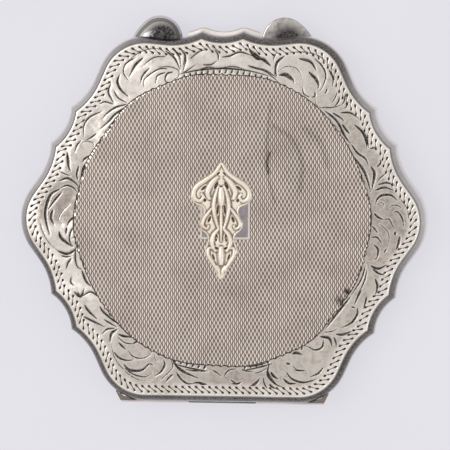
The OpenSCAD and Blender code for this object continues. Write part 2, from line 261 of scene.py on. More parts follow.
class Finish:
    """A material in the making: its Principled shader, and short ways to add nodes to it."""

    def __init__(self, name, **sockets):
        self.material = bpy.data.materials.new(name)
        self.material.use_nodes = True
        self.tree = self.material.node_tree
        self.shader = self.tree.nodes["Principled BSDF"]
        for socket, value in sockets.items():
            self.shader.inputs[socket.replace("_", " ")].default_value = value
        self.place = self.add("ShaderNodeTexCoord").outputs["Object"]

    def add(self, kind, **settings):
        node = self.tree.nodes.new(kind)
        for key, value in settings.items():
            if key in node.inputs:
                self.feed(node.inputs[key], value)
            else:
                setattr(node, key, value)
        return node

    def noise(self, per_mm, detail=3, roughness=0.5, stretch=(1, 1, 1)):
        """Noise with about that many blotches in a millimetre."""
        scaled = self.add("ShaderNodeMapping", Vector=self.place, Scale=stretch).outputs["Vector"]
        node = self.add("ShaderNodeTexNoise", Vector=scaled, Scale=per_mm / MM,
                        Detail=detail, Roughness=roughness)
        return node.outputs["Fac"]

    def ramp(self, value, low, high, to_low=0, to_high=1):
        node = self.add("ShaderNodeMapRange", Value=value)
        for socket, number in zip(("From Min", "From Max", "To Min", "To Max"),
                                  (low, high, to_low, to_high)):
            node.inputs[socket].default_value = number
        return node.outputs["Result"]

    def painted(self, name):
        return self.add("ShaderNodeAttribute", attribute_name=name).outputs["Fac"]

    def feed(self, socket, value):
        """Links what another node gives, or sets a plain value."""
        if isinstance(value, bpy.types.NodeSocket):
            self.tree.links.new(value, socket)
        else:
            socket.default_value = value

    def math(self, operation, a, b):
        node = self.add("ShaderNodeMath", operation=operation)
        for socket, value in zip(node.inputs, (a, b)):
            self.feed(socket, value)
        return node.outputs[0]

    def mix(self, share, a, b):
        """A colour between a and b."""
        node = self.add("ShaderNodeMix", data_type="RGBA")
        factor, first, second = node.inputs[0], node.inputs[6], node.inputs[7]
        for socket, value in zip((factor, first, second), (share, a, b)):
            self.feed(socket, value)
        return node.outputs[2]

    def set(self, socket, value):
        self.tree.links.new(value, self.shader.inputs[socket])
        return self

    def tint(self, share, a, b):
        """The base colour, between a and b."""
        return self.set("Base Color", self.mix(share, colour(*a), colour(*b)))

    def bump(self, height, deep_mm, strength=1):
        """Relief too fine for the mesh."""
        node = self.add("ShaderNodeBump", Height=height, Strength=strength)
        node.inputs["Distance"].default_value = deep_mm * MM
        return self.set("Normal", node.outputs["Normal"])


def colour(r, g, b):
    return (r, g, b, 1)


def worn_metal(name, bright, dull, rough, scratch_mm=0.004, blotch=0.12, painted=None, dark=None,
               matt=0.25, keep=1, buckle=(), tarnish_and_shade=None, grain=0):
    """Handled metal: a little tarnish in soft blotches, fine scratches, and uneven gloss.
    Where the mesh is painted, it turns dark, and more of it where keep is larger: patina in the cuts,
    with painted dark reflection in the engraved ones, painted shade and dark reflection on walls, ledge and
    thumb pieces, and painted shade in the ornament's slots. buckle holds (waves in a mm, height in mm) for
    metal that the work has left uneven, worn names a painted share of tarnish and painted shade, and grain
    adds fine mottling."""
    f = Finish(name, Metallic=1)
    film = f.ramp(f.noise(blotch, 4, 0.6), 0.42, 0.72)
    if tarnish_and_shade:
        film = f.math("MAXIMUM", f.math("MULTIPLY", film, 0.5), f.painted(tarnish_and_shade))
    if grain:
        mottle = f.ramp(f.noise(1.1, 5, 0.7), 0.46, 0.66, 0, grain)
        film = f.math("ADD", film, mottle)
    shade = f.mix(film, colour(*bright), colour(*dull))
    gloss = f.ramp(f.noise(0.5, 5, 0.65), 0.3, 0.7, rough * 0.8, rough * 1.25)
    if painted:
        cut = f.ramp(f.painted(painted), 0, 1 / keep)
        ragged = f.math("MULTIPLY", cut, f.ramp(f.noise(3, 2), 0.25, 0.6, 0.75, 1))
        shade = f.mix(ragged, shade, colour(*dark))
        gloss = f.math("ADD", gloss, f.math("MULTIPLY", cut, matt))
    f.set("Base Color", shade).set("Roughness", gloss)
    lines = f.noise(2.2, 3, 0.6, stretch=(1, 0.06, 1))
    cross = f.noise(2.6, 3, 0.6, stretch=(0.08, 1, 1))
    height = f.math("MULTIPLY", f.math("ADD", lines, cross), scratch_mm)
    for per_mm, deep in buckle:
        height = f.math("ADD", height, f.math("MULTIPLY", f.noise(per_mm, 1), deep))
    f.bump(height, 1)
    return f


SILVER = (0.80, 0.765, 0.73)
SILVER_DULL = (0.62, 0.575, 0.535)
# The dark of the engraved cuts: patina, with painted dark reflection on their steep flanks.
PATINA_AND_DARK_REFLECTION = (0.035, 0.027, 0.022)

silver = worn_metal("silver", SILVER, SILVER_DULL, 0.2).material
# Its painted dark is tarnish together with painted dark reflection and shade, on the walls and the ledge.
wall_silver = worn_metal("wall_silver", (0.88, 0.85, 0.81), (0.70, 0.65, 0.60), 0.15, painted="cut",
                         dark=(0.06, 0.049, 0.043), matt=0.08).material
# The engraving's painted share darkens it with tarnish and painted shade, and is cleared by the cuts to
# leave painted highlights.
engraved_finish = worn_metal("engraved_silver", (0.88, 0.84, 0.79), (0.34, 0.295, 0.265), 0.2,
                             painted="cut", dark=PATINA_AND_DARK_REFLECTION, keep=2.4, tarnish_and_shade="tarnish_and_shade", grain=0.3,
                             buckle=((0.13, 0.45), (0.5, 0.05)))
engraved = engraved_finish.material
turned_finish = worn_metal("engine_turned_silver", (0.80, 0.715, 0.655), (0.66, 0.58, 0.53), 0.13,
                           painted="cut", dark=(0.075, 0.055, 0.043), keep=2)
engine_turned = turned_finish.material
# The thumb pieces' painted dark is painted dark reflection and shade; the base's one also has blotches of
# tarnish.
nub_silver = worn_metal("nub_silver", (0.66, 0.64, 0.63), (0.48, 0.45, 0.44), 0.12, painted="cut",
                        dark=(0.02, 0.018, 0.022), matt=0, keep=1.4).material
nub_tarnish_and_reflection = worn_metal("nub_tarnish_and_reflection", (0.58, 0.56, 0.545), (0.24, 0.22, 0.21), 0.13, blotch=0.5,
                           painted="cut", dark=(0.03, 0.026, 0.028), matt=0, keep=1.2, grain=0.3).material
hinge_silver = worn_metal("hinge_silver", (0.80, 0.73, 0.69), (0.6, 0.53, 0.49), 0.24).material
hinge_dark = worn_metal("hinge_dark", (0.20, 0.175, 0.16), (0.10, 0.08, 0.07), 0.3).material
gilt = worn_metal("gilt", (0.92, 0.74, 0.46), (0.80, 0.60, 0.34), 0.2).material
pale_gold_finish = worn_metal("pale_gold", (0.86, 0.79, 0.69), (0.80, 0.66, 0.51), 0.3,
                              painted="cut", dark=(0.11, 0.068, 0.045), keep=1.5)
pale_gold_finish.shader.inputs["Metallic"].default_value = 0.6
pale_gold = pale_gold_finish.material


# ---- The two cases ---------------------------------------------------------------------

def shoulder(z_rim, z_flat, n=22):
    """(z, inset) from the rim up to the edge of the flat, with a bead at the rim."""
    groove_at, groove_w, groove_deep = 0.95, 0.2, 0.1
    lip = 0.16
    t = np.linspace(0, SHOULDER_TURN, n)
    rise = np.sin(np.radians(t)) / math.sin(math.radians(SHOULDER_TURN))
    inset = (1 - np.cos(np.radians(t))) / (1 - math.cos(math.radians(SHOULDER_TURN)))
    height = abs(z_flat - z_rim)
    up = rise * height
    inset = inset * EDGE_FLARE + groove_deep * np.exp(-((up - groove_at) / groove_w) ** 2)
    up = np.minimum(up, height - lip * 0.35)
    return [(z_rim + math.copysign(u, z_flat - z_rim), i) for u, i in zip(up, inset)]


def paint_by_place(piece, name, rule):
    place = np.array([v.co for v in piece.data.vertices]) / MM
    paint(piece, name, rule(*place.T))


# How dark the walls are painted, by the angle on the face: tarnish, with painted dark reflection and shade
# that differ from side to side
WALL_TARNISH_AND_SHADE = [(0, 0.4), (15, 0.5), (35, 0.45), (55, 0.95), (110, 0.9), (125, 0.5), (140, 0.4), (165, 0.4),
                (180, 0.55), (192, 0.95), (235, 1), (250, 0.95), (290, 0.95), (305, 1), (340, 0.85)]


def wall_tarnish_and_shade(share, x, y):
    """Tarnish and painted dark reflection on a wall, from its rim (0) to the flat (1): the bead and the
    edges are rubbed clean.
    """
    face_angle = np.degrees(np.arctan2(-y, -x)) % 360
    local = np.interp(face_angle, *zip(*WALL_TARNISH_AND_SHADE), period=360)
    rising = np.clip((share - 0.55 + 0.25 * local) / 0.3, 0, 1)
    falling = np.clip((0.985 - share) / 0.04, 0, 1)
    return np.minimum(0.03 + local * rising, falling)


GUTTER_R = BARREL_R + 0.1


def gutter_cutter():
    half_l = box_mm("hinge_pin")[1][0] + 0.1
    rings = turned_rings([(GUTTER_R, -half_l), (GUTTER_R, half_l)], 64)
    points, faces = loft(rings)
    return along_x(points, HINGE), faces


def lid_case():
    ceiling = box_mm("mirror_card")[1][2]
    inner_rim = 0.75
    inside = [(ceiling, EDGE_FLARE + SHEET), (ceiling - 0.45, 0.7 * EDGE_FLARE + SHEET),
              (ceiling - 0.9, 0.35 * EDGE_FLARE + SHEET), (LID_RIM + 1.3, inner_rim),
              (LID_RIM + 0.08, inner_rim), (LID_RIM, inner_rim - 0.08)]
    wall = shoulder(LID_RIM, LID_TOP)
    wall[0] = (LID_RIM, 0.08)
    wall.insert(1, (LID_RIM + 0.08, 0))
    lip = [(LID_TOP - 0.02, EDGE_FLARE + 0.05), (LID_TOP, EDGE_FLARE + 0.12), (LID_TOP, PLATE_INSET),
           (LID_TOP - PLATE_T - 0.02, PLATE_INSET + 0.02)]
    piece = mesh_object("lid_case", *loft(outline_rings(inside + wall + lip)))
    cut_by(piece, *gutter_cutter())
    # Painted dark reflection and tarnish on the lid's wall.
    paint_by_place(piece, "cut", lambda x, y, z: wall_tarnish_and_shade((z - LID_RIM) / (LID_TOP - LID_RIM), x, y))
    return dress(piece, wall_silver, "lid", ["lid_shell"], sharp=30)


def base_case():
    floor = box_mm("powder_pan")[0][2]
    inner_rim = 0.9
    wall = shoulder(BASE_RIM, 0)[::-1]
    foot = [(0.0, EDGE_FLARE + 0.9), (0.0, EDGE_FLARE + 0.15), (0.03, EDGE_FLARE + 0.04)]
    wall[-1] = (BASE_RIM, 0.08)
    wall.insert(-1, (BASE_RIM - 0.08, 0))
    inside = [(BASE_RIM, inner_rim - 0.08), (BASE_RIM - 0.08, inner_rim), (3.3, inner_rim),
              (floor + 0.8, 0.4 * EDGE_FLARE + SHEET), (floor, EDGE_FLARE + SHEET)]
    piece = mesh_object("base_case", *loft(outline_rings(foot + wall + inside)))
    cut_by(piece, *gutter_cutter())
    # Painted dark reflection and tarnish on the base's wall.
    paint_by_place(piece, "cut", lambda x, y, z: wall_tarnish_and_shade(1 - z / BASE_RIM, x, y))
    return dress(piece, wall_silver, "base", ["base_shell"], sharp=30)


lid_case()
base_case()


# ---- The engraved border ----------------------------------------------------------------

# Each stroke of the graver is its width, then the points it runs through, (right, up) in
# millimetres from the middle of the face, seen from above with the thumb pieces at the top. The
# points were measured by eye, and another program turned them into millimetres.
TOP_LEFT = [
    (0.35, (-10.9, 32.9), (-9.2, 31.5), (-8.1, 29.3)),
    (0.2, (-9.5, 33.5), (-8.3, 31.9), (-7.9, 29.5)),
    (0.25, (-7.9, 33.3), (-7, 31.4), (-7.6, 28.6)),
    (0.25, (-16.7, 31.6), (-18.7, 30.3), (-19.1, 28.6), (-18.1, 27)),
    (0.45, (-15.3, 31.5), (-16.8, 30.1), (-18, 27.9)),
    (0.2, (-10.9, 31.8), (-13.3, 31.5), (-15.5, 29.8)),
    (0.35, (-14.1, 29.5), (-15.4, 28), (-15.8, 26.6)),
    (0.25, (-10.5, 29.4), (-12.3, 29.3), (-14.9, 27.5), (-15.2, 25.9)),
    (0.3, (-11, 28.7), (-12.5, 28), (-12.9, 26.6)),
    (0.35, (-9.4, 28.8), (-10.6, 28.4), (-11, 27.2), (-10.4, 26.7)),
    (0.15, (-12.3, 29.7), (-10.1, 29.8), (-8.4, 29.1), (-8.5, 27.8), (-9.9, 27.2)),
    (0.45, (-19.9, 28.2), (-20.3, 26.9), (-19.7, 25.4), (-18.2, 24)),
    (0.35, (-21.6, 26.5), (-22.1, 25), (-21.5, 23.5), (-21, 22.8)),
    (0.25, (-21, 25), (-20.1, 23.7), (-18.4, 22.8)),
    (0.3, (-23.8, 22.6), (-22.7, 23), (-21, 22.5)),
    (0.35, (-18.5, 22.5), (-20.8, 21.8), (-22.6, 20.5), (-23.2, 19.6)),
    (0.4, (-18.4, 22.1), (-20.8, 20.5), (-22, 19.2), (-23.9, 17.5)),
    (0.2, (-20, 20.4), (-21.8, 18.3), (-22.9, 16.9)),
    (0.35, (-23.4, 21.1), (-25.8, 19.9), (-26.9, 18.2), (-26.9, 16.1)),
    (0.3, (-24.4, 16.8), (-25.5, 16), (-26.6, 15.4)),
    (0.3, (-27.4, 15.5), (-28.3, 14.4), (-28.7, 13.1)),
    (0.12, (-27.6, 14.8), (-26.3, 15.3), (-25.1, 14.9), (-25, 13.9)),
    (0.12, (-18.7, 30.5), (-15.9, 32.6), (-13.1, 33.3), (-10.7, 32.7)),
]
TOP_RIGHT = [
    (0.5, (12.1, 31.9), (10.8, 30.8), (10.4, 29.3), (10.7, 27.8)),
    (0.25, (10.6, 32.5), (10.1, 31.7), (10, 30.8)),
    (0.5, (11.2, 28.4), (12.5, 28.5), (13.7, 27.5), (14, 26.7)),
    (0.12, (10.8, 28.9), (12.3, 29.9), (14.2, 29.7), (15.3, 28.3), (15.2, 26.6)),
    (0.55, (14.9, 31.5), (17.1, 30.9), (18.3, 29.1)),
    (0.3, (17.9, 31.5), (19.4, 30), (20.1, 28.2), (19.5, 26.1), (18.9, 25.2)),
    (0.6, (16.8, 28.9), (18.1, 27.7), (18.7, 26.4), (18.5, 25.7)),
    (0.25, (15.6, 26), (15.9, 24.7), (17.1, 24)),
    (0.35, (18, 25.1), (18, 24.2), (17.3, 24)),
    (0.35, (20.7, 29.3), (21.5, 27.8), (21.4, 26.1)),
    (0.3, (20.4, 25.7), (20.1, 25), (19.7, 24.8)),
    (0.12, (18.1, 24.2), (18.2, 22.7), (19.5, 22), (21, 22.6)),
    (0.25, (22.3, 25), (21.9, 23.9), (21.2, 22.8)),
    (0.35, (22.7, 24.1), (22.6, 23.3), (21.8, 22.2)),
    (0.35, (23.9, 24.7), (23.7, 23.4), (23.1, 22.4)),
    (0.25, (24.5, 23.2), (24.1, 22.3), (23.5, 21.8)),
    (0.2, (19.4, 22.1), (21.4, 22.1), (23.1, 22.6)),
    (0.35, (22.9, 21.1), (24.8, 21.1), (26.5, 20)),
    (0.45, (19.9, 21.5), (22.2, 19.6), (23.7, 17), (24.7, 15.4)),
    (0.35, (21.4, 21.1), (22.9, 20.2), (23.7, 19.4)),
    (0.45, (23.3, 18.9), (24.3, 17.6), (24.8, 17)),
    (0.45, (25.6, 18.9), (27.3, 17.3), (28, 15.2), (28.1, 14.1)),
    (0.6, (5.2, 33.3), (6.7, 31.6), (8.2, 31.3), (9.5, 30)),
    (0.4, (5, 30.1), (6.3, 29.7), (8.6, 29.1), (10.3, 28)),
    (0.12, (12.6, 32.5), (16, 32.7), (18.8, 31.9), (21.3, 29.7)),
]
LEFT = [
    (0.45, (-31.9, 7.5), (-30.2, 8.1), (-28.7, 7.3), (-27.9, 6.4)),
    (0.35, (-31.5, 6.2), (-30.2, 6.7), (-28.9, 6.2), (-28.2, 5.3)),
    (0.55, (-31.5, 6), (-33.5, 4.7), (-34.5, 1.6), (-34.3, -0.8), (-33.7, -3)),
    (0.4, (-31.2, 5.4), (-32.9, 3.4), (-34, 1.8)),
    (0.5, (-33, 1.9), (-33.4, 0.4), (-32.8, -1.1)),
    (0.5, (-31.8, -2.4), (-31.3, -3.7), (-29.2, -5.3)),
    (0.15, (-29.7, 3), (-31.2, 1.5), (-31.9, 0), (-31.3, -0.9)),
    (0.4, (-28.4, 0.8), (-29.7, -0.3), (-30.2, -1.3)),
    (0.35, (-30.3, -1.6), (-30.4, -2.4), (-30.4, -2.9)),
    (0.3, (-28.9, -1.4), (-29.6, -2.7), (-29.7, -4.2), (-29.1, -5.3)),
    (0.15, (-29.4, -3.7), (-28.7, -3.5), (-28.1, -4.2), (-28.7, -5)),
    (0.12, (-35.6, -0), (-35.1, -2.3), (-33.7, -4.7), (-31.8, -6.3)),
    (0.45, (-32.2, -6.1), (-30.3, -6.7), (-28.8, -6), (-28.3, -5.1)),
    (0.25, (-31.4, -7.1), (-30.3, -7.3), (-29.4, -7.2)),
    (0.35, (-29.4, -7.6), (-30.1, -8.7), (-30.4, -9.8)),
    (0.3, (-28.5, -5.7), (-28.6, -7.6), (-28.2, -9.2), (-27.3, -9.8)),
    (0.4, (-27.7, -5.7), (-27.1, -7.9), (-25.8, -10.1), (-24.8, -11.8)),
    (0.45, (-27.3, -10), (-26.5, -12), (-25.5, -13.1)),
    (0.3, (-29.4, -11.3), (-29.5, -12.3), (-28.9, -13)),
    (0.4, (-28.8, -14.2), (-27.7, -15), (-26.8, -13.5)),
    (0.35, (-27.2, -15), (-25.7, -14.1), (-24.4, -14.8), (-23.6, -15.5)),
    (0.5, (-30.2, 13.1), (-30, 11.4), (-29.9, 10.3), (-29.5, 9.4)),
    (0.4, (-25.8, 12.5), (-26.9, 11.7), (-27.1, 11.1)),
    (0.4, (-27.9, 10.5), (-28.3, 8.8), (-28.1, 7.7)),
    (0.45, (-25.6, 11.7), (-26.9, 10.2), (-27.4, 8.3), (-27.6, 6.8)),
    (0.2, (-31.5, 9.3), (-30.6, 8.9), (-29.5, 8.5)),
]
RIGHT = [
    (0.5, (25.7, 12.5), (27.4, 10.2), (28.3, 8.1), (28.9, 5.8)),
    (0.4, (25.1, 15), (26.3, 13.4), (27.8, 12.3), (28.5, 10.8)),
    (0.6, (28.9, 10.8), (29.6, 9.6), (29.5, 8.1), (29.1, 6.2)),
    (0.4, (30, 10.7), (30.7, 11.5), (30.6, 12.1)),
    (0.3, (31.7, 9.4), (30.8, 8.6), (30, 7.7)),
    (0.4, (30.2, 7.3), (31.9, 7.7), (33.6, 7.1)),
    (0.45, (29.7, 6.2), (31.5, 6.8), (33.2, 6.2)),
    (0.5, (29.8, 3.5), (30.1, 4.5), (31.1, 5.3), (32.8, 5.3), (34.1, 4.2)),
    (0.12, (30.1, 3.3), (30.9, 3.9), (31.4, 3.3), (30.7, 2.4)),
    (0.2, (32.6, 2.7), (33, 3.3), (34.1, 3.3), (35.2, 2.5)),
    (0.3, (33.2, 1.9), (34.1, 2.1), (35, 0.8), (35.4, -1.1)),
    (0.45, (29.6, 1.8), (30.3, 1.1), (31.4, 0.5)),
    (0.25, (31.4, 0.5), (32.5, 0.6), (33.5, -1.3)),
    (0.5, (33.7, -1.8), (33.7, -2.2), (33.8, -2.5)),
    (0.5, (34.6, -2.6), (34.3, -4.3), (33.8, -5.4)),
    (0.3, (29.2, -0.7), (29.7, -1.2), (30.3, -2.1)),
    (0.3, (29, -2.9), (30.2, -2.9), (31.1, -4.1)),
    (0.4, (29.6, -4.3), (30.4, -5.2), (30.3, -6.7), (29.6, -7.3)),
    (0.15, (30.7, -0.3), (32.1, -1.6), (32.5, -3), (32.1, -5)),
    (0.3, (32, -5.1), (31.8, -5.6), (31.5, -6)),
    (0.5, (29, -8.4), (30.5, -8.9), (32.1, -8.2)),
    (0.45, (29.4, -9), (30.5, -9.8), (31.6, -10.2)),
    (0.5, (29.9, -10.9), (30.4, -12.4), (30, -14.1)),
    (0.35, (28.1, -8.2), (27.2, -11.2), (25.3, -14.2)),
    (0.3, (28.3, -9.2), (27.8, -11.6), (26.4, -14.4)),
    (0.35, (22.9, 17.9), (24.4, 15.8), (25, 15.2)),
    (0.5, (26.7, 18), (28, 16.3), (28.4, 14.4)),
    (0.3, (28.6, 14.2), (29.5, 14.4), (30.1, 14)),
    (0.12, (34.1, 5), (35.8, 2.9), (36.3, 0.4)),
]
BOTTOM_LEFT = [
    (0.5, (-20.4, -21.5), (-21.5, -22.4), (-21.8, -24.1)),
    (0.35, (-20.8, -21.3), (-22.3, -21.5), (-23.4, -22.5)),
    (0.45, (-20.1, -22.4), (-19.2, -22.7), (-17.2, -23)),
    (0.2, (-20.3, -22.9), (-18.9, -24), (-17.1, -24.2), (-16.1, -23.4)),
    (0.35, (-20.1, -24), (-19.3, -24.8), (-18.6, -25.4)),
    (0.35, (-21, -25.9), (-20, -27), (-18.5, -27.5), (-17, -27.4)),
    (0.2, (-18.2, -25.5), (-17.4, -26.6), (-15.8, -27.1), (-14.2, -26.6), (-13.3, -25.6)),
    (0.5, (-19.1, -28.3), (-17.8, -29.4), (-15.6, -29.4), (-14.1, -28.2), (-13.2, -28.4)),
    (0.25, (-18.9, -29.1), (-17, -30.3), (-14.8, -30.7), (-13.5, -29.9)),
    (0.12, (-13, -26.2), (-12.8, -27.5), (-12.1, -27.6)),
    (0.4, (-11.2, -27.3), (-11, -28.4), (-11.7, -29.7), (-13, -30.6)),
    (0.2, (-10, -26.7), (-9.4, -28.6), (-10.3, -29.9), (-12, -31.4)),
    (0.4, (-9.4, -30.2), (-10.2, -31), (-10.8, -31.7)),
    (0.12, (-21.6, -24.1), (-20.8, -27.1), (-18.8, -29.6), (-16.2, -31.3), (-13.5, -31.4)),
    (0.45, (-9.7, -26.9), (-7.8, -29.3), (-4.4, -30.8)),
    (0.35, (-8.7, -29.7), (-7.7, -31.1), (-6.4, -31.9)),
    (0.4, (-5.3, -31.7), (-4, -31.7), (-2.7, -32)),
    (0.25, (-7, -29.1), (-5, -29.4), (-3.1, -29.3)),
    (0.4, (-26.8, -16.7), (-26, -17.9), (-24.3, -19.5)),
    (0.4, (-27, -19), (-25.1, -19.9), (-22.8, -21)),
    (0.4, (-23.8, -16.9), (-23.1, -18), (-21.2, -19.6), (-19.5, -20.8)),
    (0.3, (-23, -19.5), (-21.5, -20.4), (-20.4, -21)),
    (0.3, (-23.1, -16.3), (-22, -17.6), (-20.8, -19.1)),
    (0.35, (-17.1, -24), (-16.3, -23.7), (-16.1, -23.2)),
    (0.3, (-15.2, -24.3), (-14.7, -24.3), (-14, -24.2)),
    (0.4, (-28.2, -14.2), (-27.6, -15.1), (-26.9, -14.3)),
]
BOTTOM_RIGHT = [
    (0.4, (20, -23.1), (19.7, -24.5), (18.3, -25), (16.9, -24.3)),
    (0.35, (15.7, -25.1), (15.9, -24.1), (16.9, -24.3)),
    (0.6, (13.9, -25.8), (14.7, -25.5), (15.9, -25.9)),
    (0.5, (12.8, -27.6), (13.2, -27.7), (13.6, -27.8)),
    (0.35, (14.4, -28.9), (15.6, -29), (16.6, -29)),
    (0.15, (14, -28.1), (14.5, -28.6), (15, -28.9)),
    (0.4, (20, -28.4), (19, -29.6), (17.4, -30.3)),
    (0.4, (12.8, -29.4), (14, -30.7), (16, -31.3), (18, -30.9), (19, -30.4)),
    (0.45, (12.2, -30.6), (13.3, -31.5), (14.8, -31.6)),
    (0.55, (19.3, -22.3), (21.1, -22.6), (21.7, -24.2)),
    (0.35, (22, -22.4), (22.4, -23.3), (22.5, -24.2)),
    (0.5, (9.8, -29.4), (10.4, -30.2), (11.3, -30.8)),
    (0.4, (9.5, -27.8), (9.2, -30), (10.7, -31.7), (12.5, -32.5)),
    (0.45, (9.5, -31.8), (10.1, -32.3), (10.7, -32.7)),
    (0.4, (4.6, -28.3), (7, -28.1), (9.4, -27.4)),
    (0.2, (4.1, -28.9), (5.1, -29.3), (6.8, -29.3)),
    (0.4, (7.5, -31), (6.9, -31.8), (5.7, -32.3)),
    (0.35, (4.1, -31.5), (3.1, -31.9), (2.1, -31.8)),
    (0.3, (8.3, -31), (8.7, -32), (9.1, -32.6)),
    (0.5, (25.3, -14.4), (22.8, -17.6), (20.2, -21.1)),
    (0.5, (26.5, -16.6), (26.5, -18), (25.4, -19.6), (23.4, -20.6)),
    (0.3, (25.3, -16.4), (25.7, -16.5), (26.1, -16.6)),
    (0.2, (20, -21.5), (21.8, -21.2), (22.8, -20.6)),
    (0.5, (22.4, -21.8), (23.8, -21.8), (25.4, -21.2)),
    (0.4, (27.3, -13.2), (26.3, -15.2), (25.9, -16.2)),
    (0.4, (28.3, -14.4), (28.1, -15.6), (27.7, -16.8)),
]
TOP = [
    (0.3, (-10.9, 32.8), (-9.2, 31.5), (-8.2, 29.6)),
    (0.3, (-9.4, 33.2), (-8.6, 32.3), (-7.9, 31.1)),
    (0.35, (-7.8, 33), (-7.1, 31.9), (-7.5, 29.9)),
    (0.25, (-6.2, 31.3), (-4.7, 32.6), (-3.1, 33.2)),
    (0.25, (-3.7, 30.2), (-2.1, 30.3), (-0.9, 31)),
    (0.2, (-7.9, 28.4), (-6.3, 29.4), (-4.9, 30.3)),
    (0.3, (-1.3, 33.1), (-0.7, 32.1), (-0.7, 31)),
    (0.35, (-0, 31.7), (1.6, 32), (3.5, 32.7), (6.1, 31.9)),
    (0.2, (0, 29.7), (2.3, 29.9), (4.7, 29.3)),
    (0.3, (5, 30.1), (6.5, 29.7), (8.6, 28.9), (10.9, 27)),
    (0.45, (5.3, 33.1), (7.2, 31.8), (9.2, 30.1)),
    (0.4, (12.1, 31.9), (10.8, 30.7), (10.3, 28.9), (10.4, 27.8)),
    (0.4, (11, 28.3), (12.3, 28.2), (13.6, 27.2)),
    (0.2, (-4.4, 29.3), (-2.3, 29.8), (-0.6, 29.2)),
]
BOTTOM = [
    (0.35, (-8.4, -28.6), (-6.7, -29.8), (-4.3, -30.9)),
    (0.35, (-8.6, -30.2), (-7.5, -31.3), (-6.5, -31.9), (-5.1, -31.9)),
    (0.3, (-4.3, -31.8), (-3.6, -32), (-2.6, -32)),
    (0.2, (-6.8, -29.2), (-4.9, -29.3), (-3.3, -29.5), (-2.3, -29.3)),
    (0.25, (-1.7, -29.1), (-0.7, -29.7), (0.1, -30.4)),
    (0.25, (0.6, -30.6), (1.1, -29.6), (2, -29), (3.3, -28.9)),
    (0.15, (4.1, -28.8), (5.1, -29.2), (6.1, -29.3)),
    (0.2, (6.5, -29.7), (7.9, -29.3), (9.1, -28.5)),
    (0.3, (1.9, -31), (3.2, -31.8), (4.3, -31.3)),
    (0.25, (6.1, -31.9), (6.8, -31.5), (7.8, -30.5)),
    (0.2, (8.4, -30.5), (8.5, -31.4), (8.9, -32.2)),
    (0.4, (9.3, -29.4), (9.8, -30.6), (10.8, -31.7)),
]


STROKES = TOP_LEFT + TOP_RIGHT + LEFT + RIGHT + BOTTOM_LEFT + BOTTOM_RIGHT + TOP + BOTTOM


def through(points, step=0.07):
    """A smooth line through the points, sampled every step (Catmull-Rom)."""
    p = np.asarray(points, float)
    p = np.vstack([2 * p[0] - p[1], p, 2 * p[-1] - p[-2]])
    parts = []
    for a, b, c, d in zip(p, p[1:], p[2:], p[3:]):
        n = max(2, int(np.hypot(*(c - b)[:2]) / step))
        t = (np.arange(n) / n)[:, None]
        parts.append(0.5 * (2 * b + (c - a) * t + (2 * a - 5 * b + 4 * c - d) * t ** 2
                            + (3 * b - a - 3 * c + d) * t ** 3))
    return np.vstack(parts + [p[-2:-1]])


def leaf_cut(width, line):
    """Half the width along a cut that swells and then runs out to a point."""
    t = np.linspace(0, 1, len(line))
    return width / 2 * (0.12 + 0.88 * np.sin(np.pi * t ** 0.75) ** 0.8)


def wedge_cut(width, line):
    """Half the width along a short triangular cut, widest at its start."""
    return width / 2 * np.linspace(1, 0.15, len(line))


def flip(points):
    """Face coordinates to the frame's, or back: seen from above, the thumb pieces are at -Y."""
    return -np.asarray(points, float)


def walked(points, pitch):
    """Points every pitch along a closed line, and the unit vectors along it."""
    closed = np.vstack([points, points[:1]])
    length = np.concatenate([[0], np.cumsum(np.hypot(*np.diff(closed, axis=0).T))])
    n = int(round(length[-1] / pitch))
    s = np.arange(n) * length[-1] / n
    at = np.column_stack([np.interp(s, length, closed[:, i]) for i in (0, 1)])
    along = np.roll(at, -1, 0) - np.roll(at, 1, 0)
    return at, along / np.hypot(*along.T)[:, None]


WEDGE_PITCH = 1.32
WEDGE_OUTER, WEDGE_INNER = 0.74, 1.64      # how far the two rows lie inside the edge of the flat


def wedge_rows():
    """The zigzag of triangular cuts that follows the edge: two rows, joined by hairlines."""
    at, along = walked(outline(EDGE_FLARE + (WEDGE_OUTER + WEDGE_INNER) / 2), WEDGE_PITCH)
    inward = np.column_stack([-along[:, 1], along[:, 0]])
    reach = (WEDGE_INNER - WEDGE_OUTER) / 2
    outer = at - inward * reach + along * WEDGE_PITCH * 0.36
    inner = at + inward * reach - along * WEDGE_PITCH * 0.36
    cuts = []
    for o, i in zip(outer, inner):
        way = (i - o) / np.hypot(*(i - o))
        cuts.append((0.62, wedge_cut, np.array([o - way * 0.2, o + way * 0.5])))
        cuts.append((0.62, wedge_cut, np.array([i + way * 0.15, i - way * 0.4])))
        cuts.append((0.2, leaf_cut, np.array([o, i])))
    return cuts


CUT_DEPTH = 0.3                        # depth of a cut, as a share of its width
CUT_APEX = -0.3                        # where its deepest line lies, from edge to edge (-1 to 1)
BROAD = 1.22                           # how much wider the cuts are than STROKES says


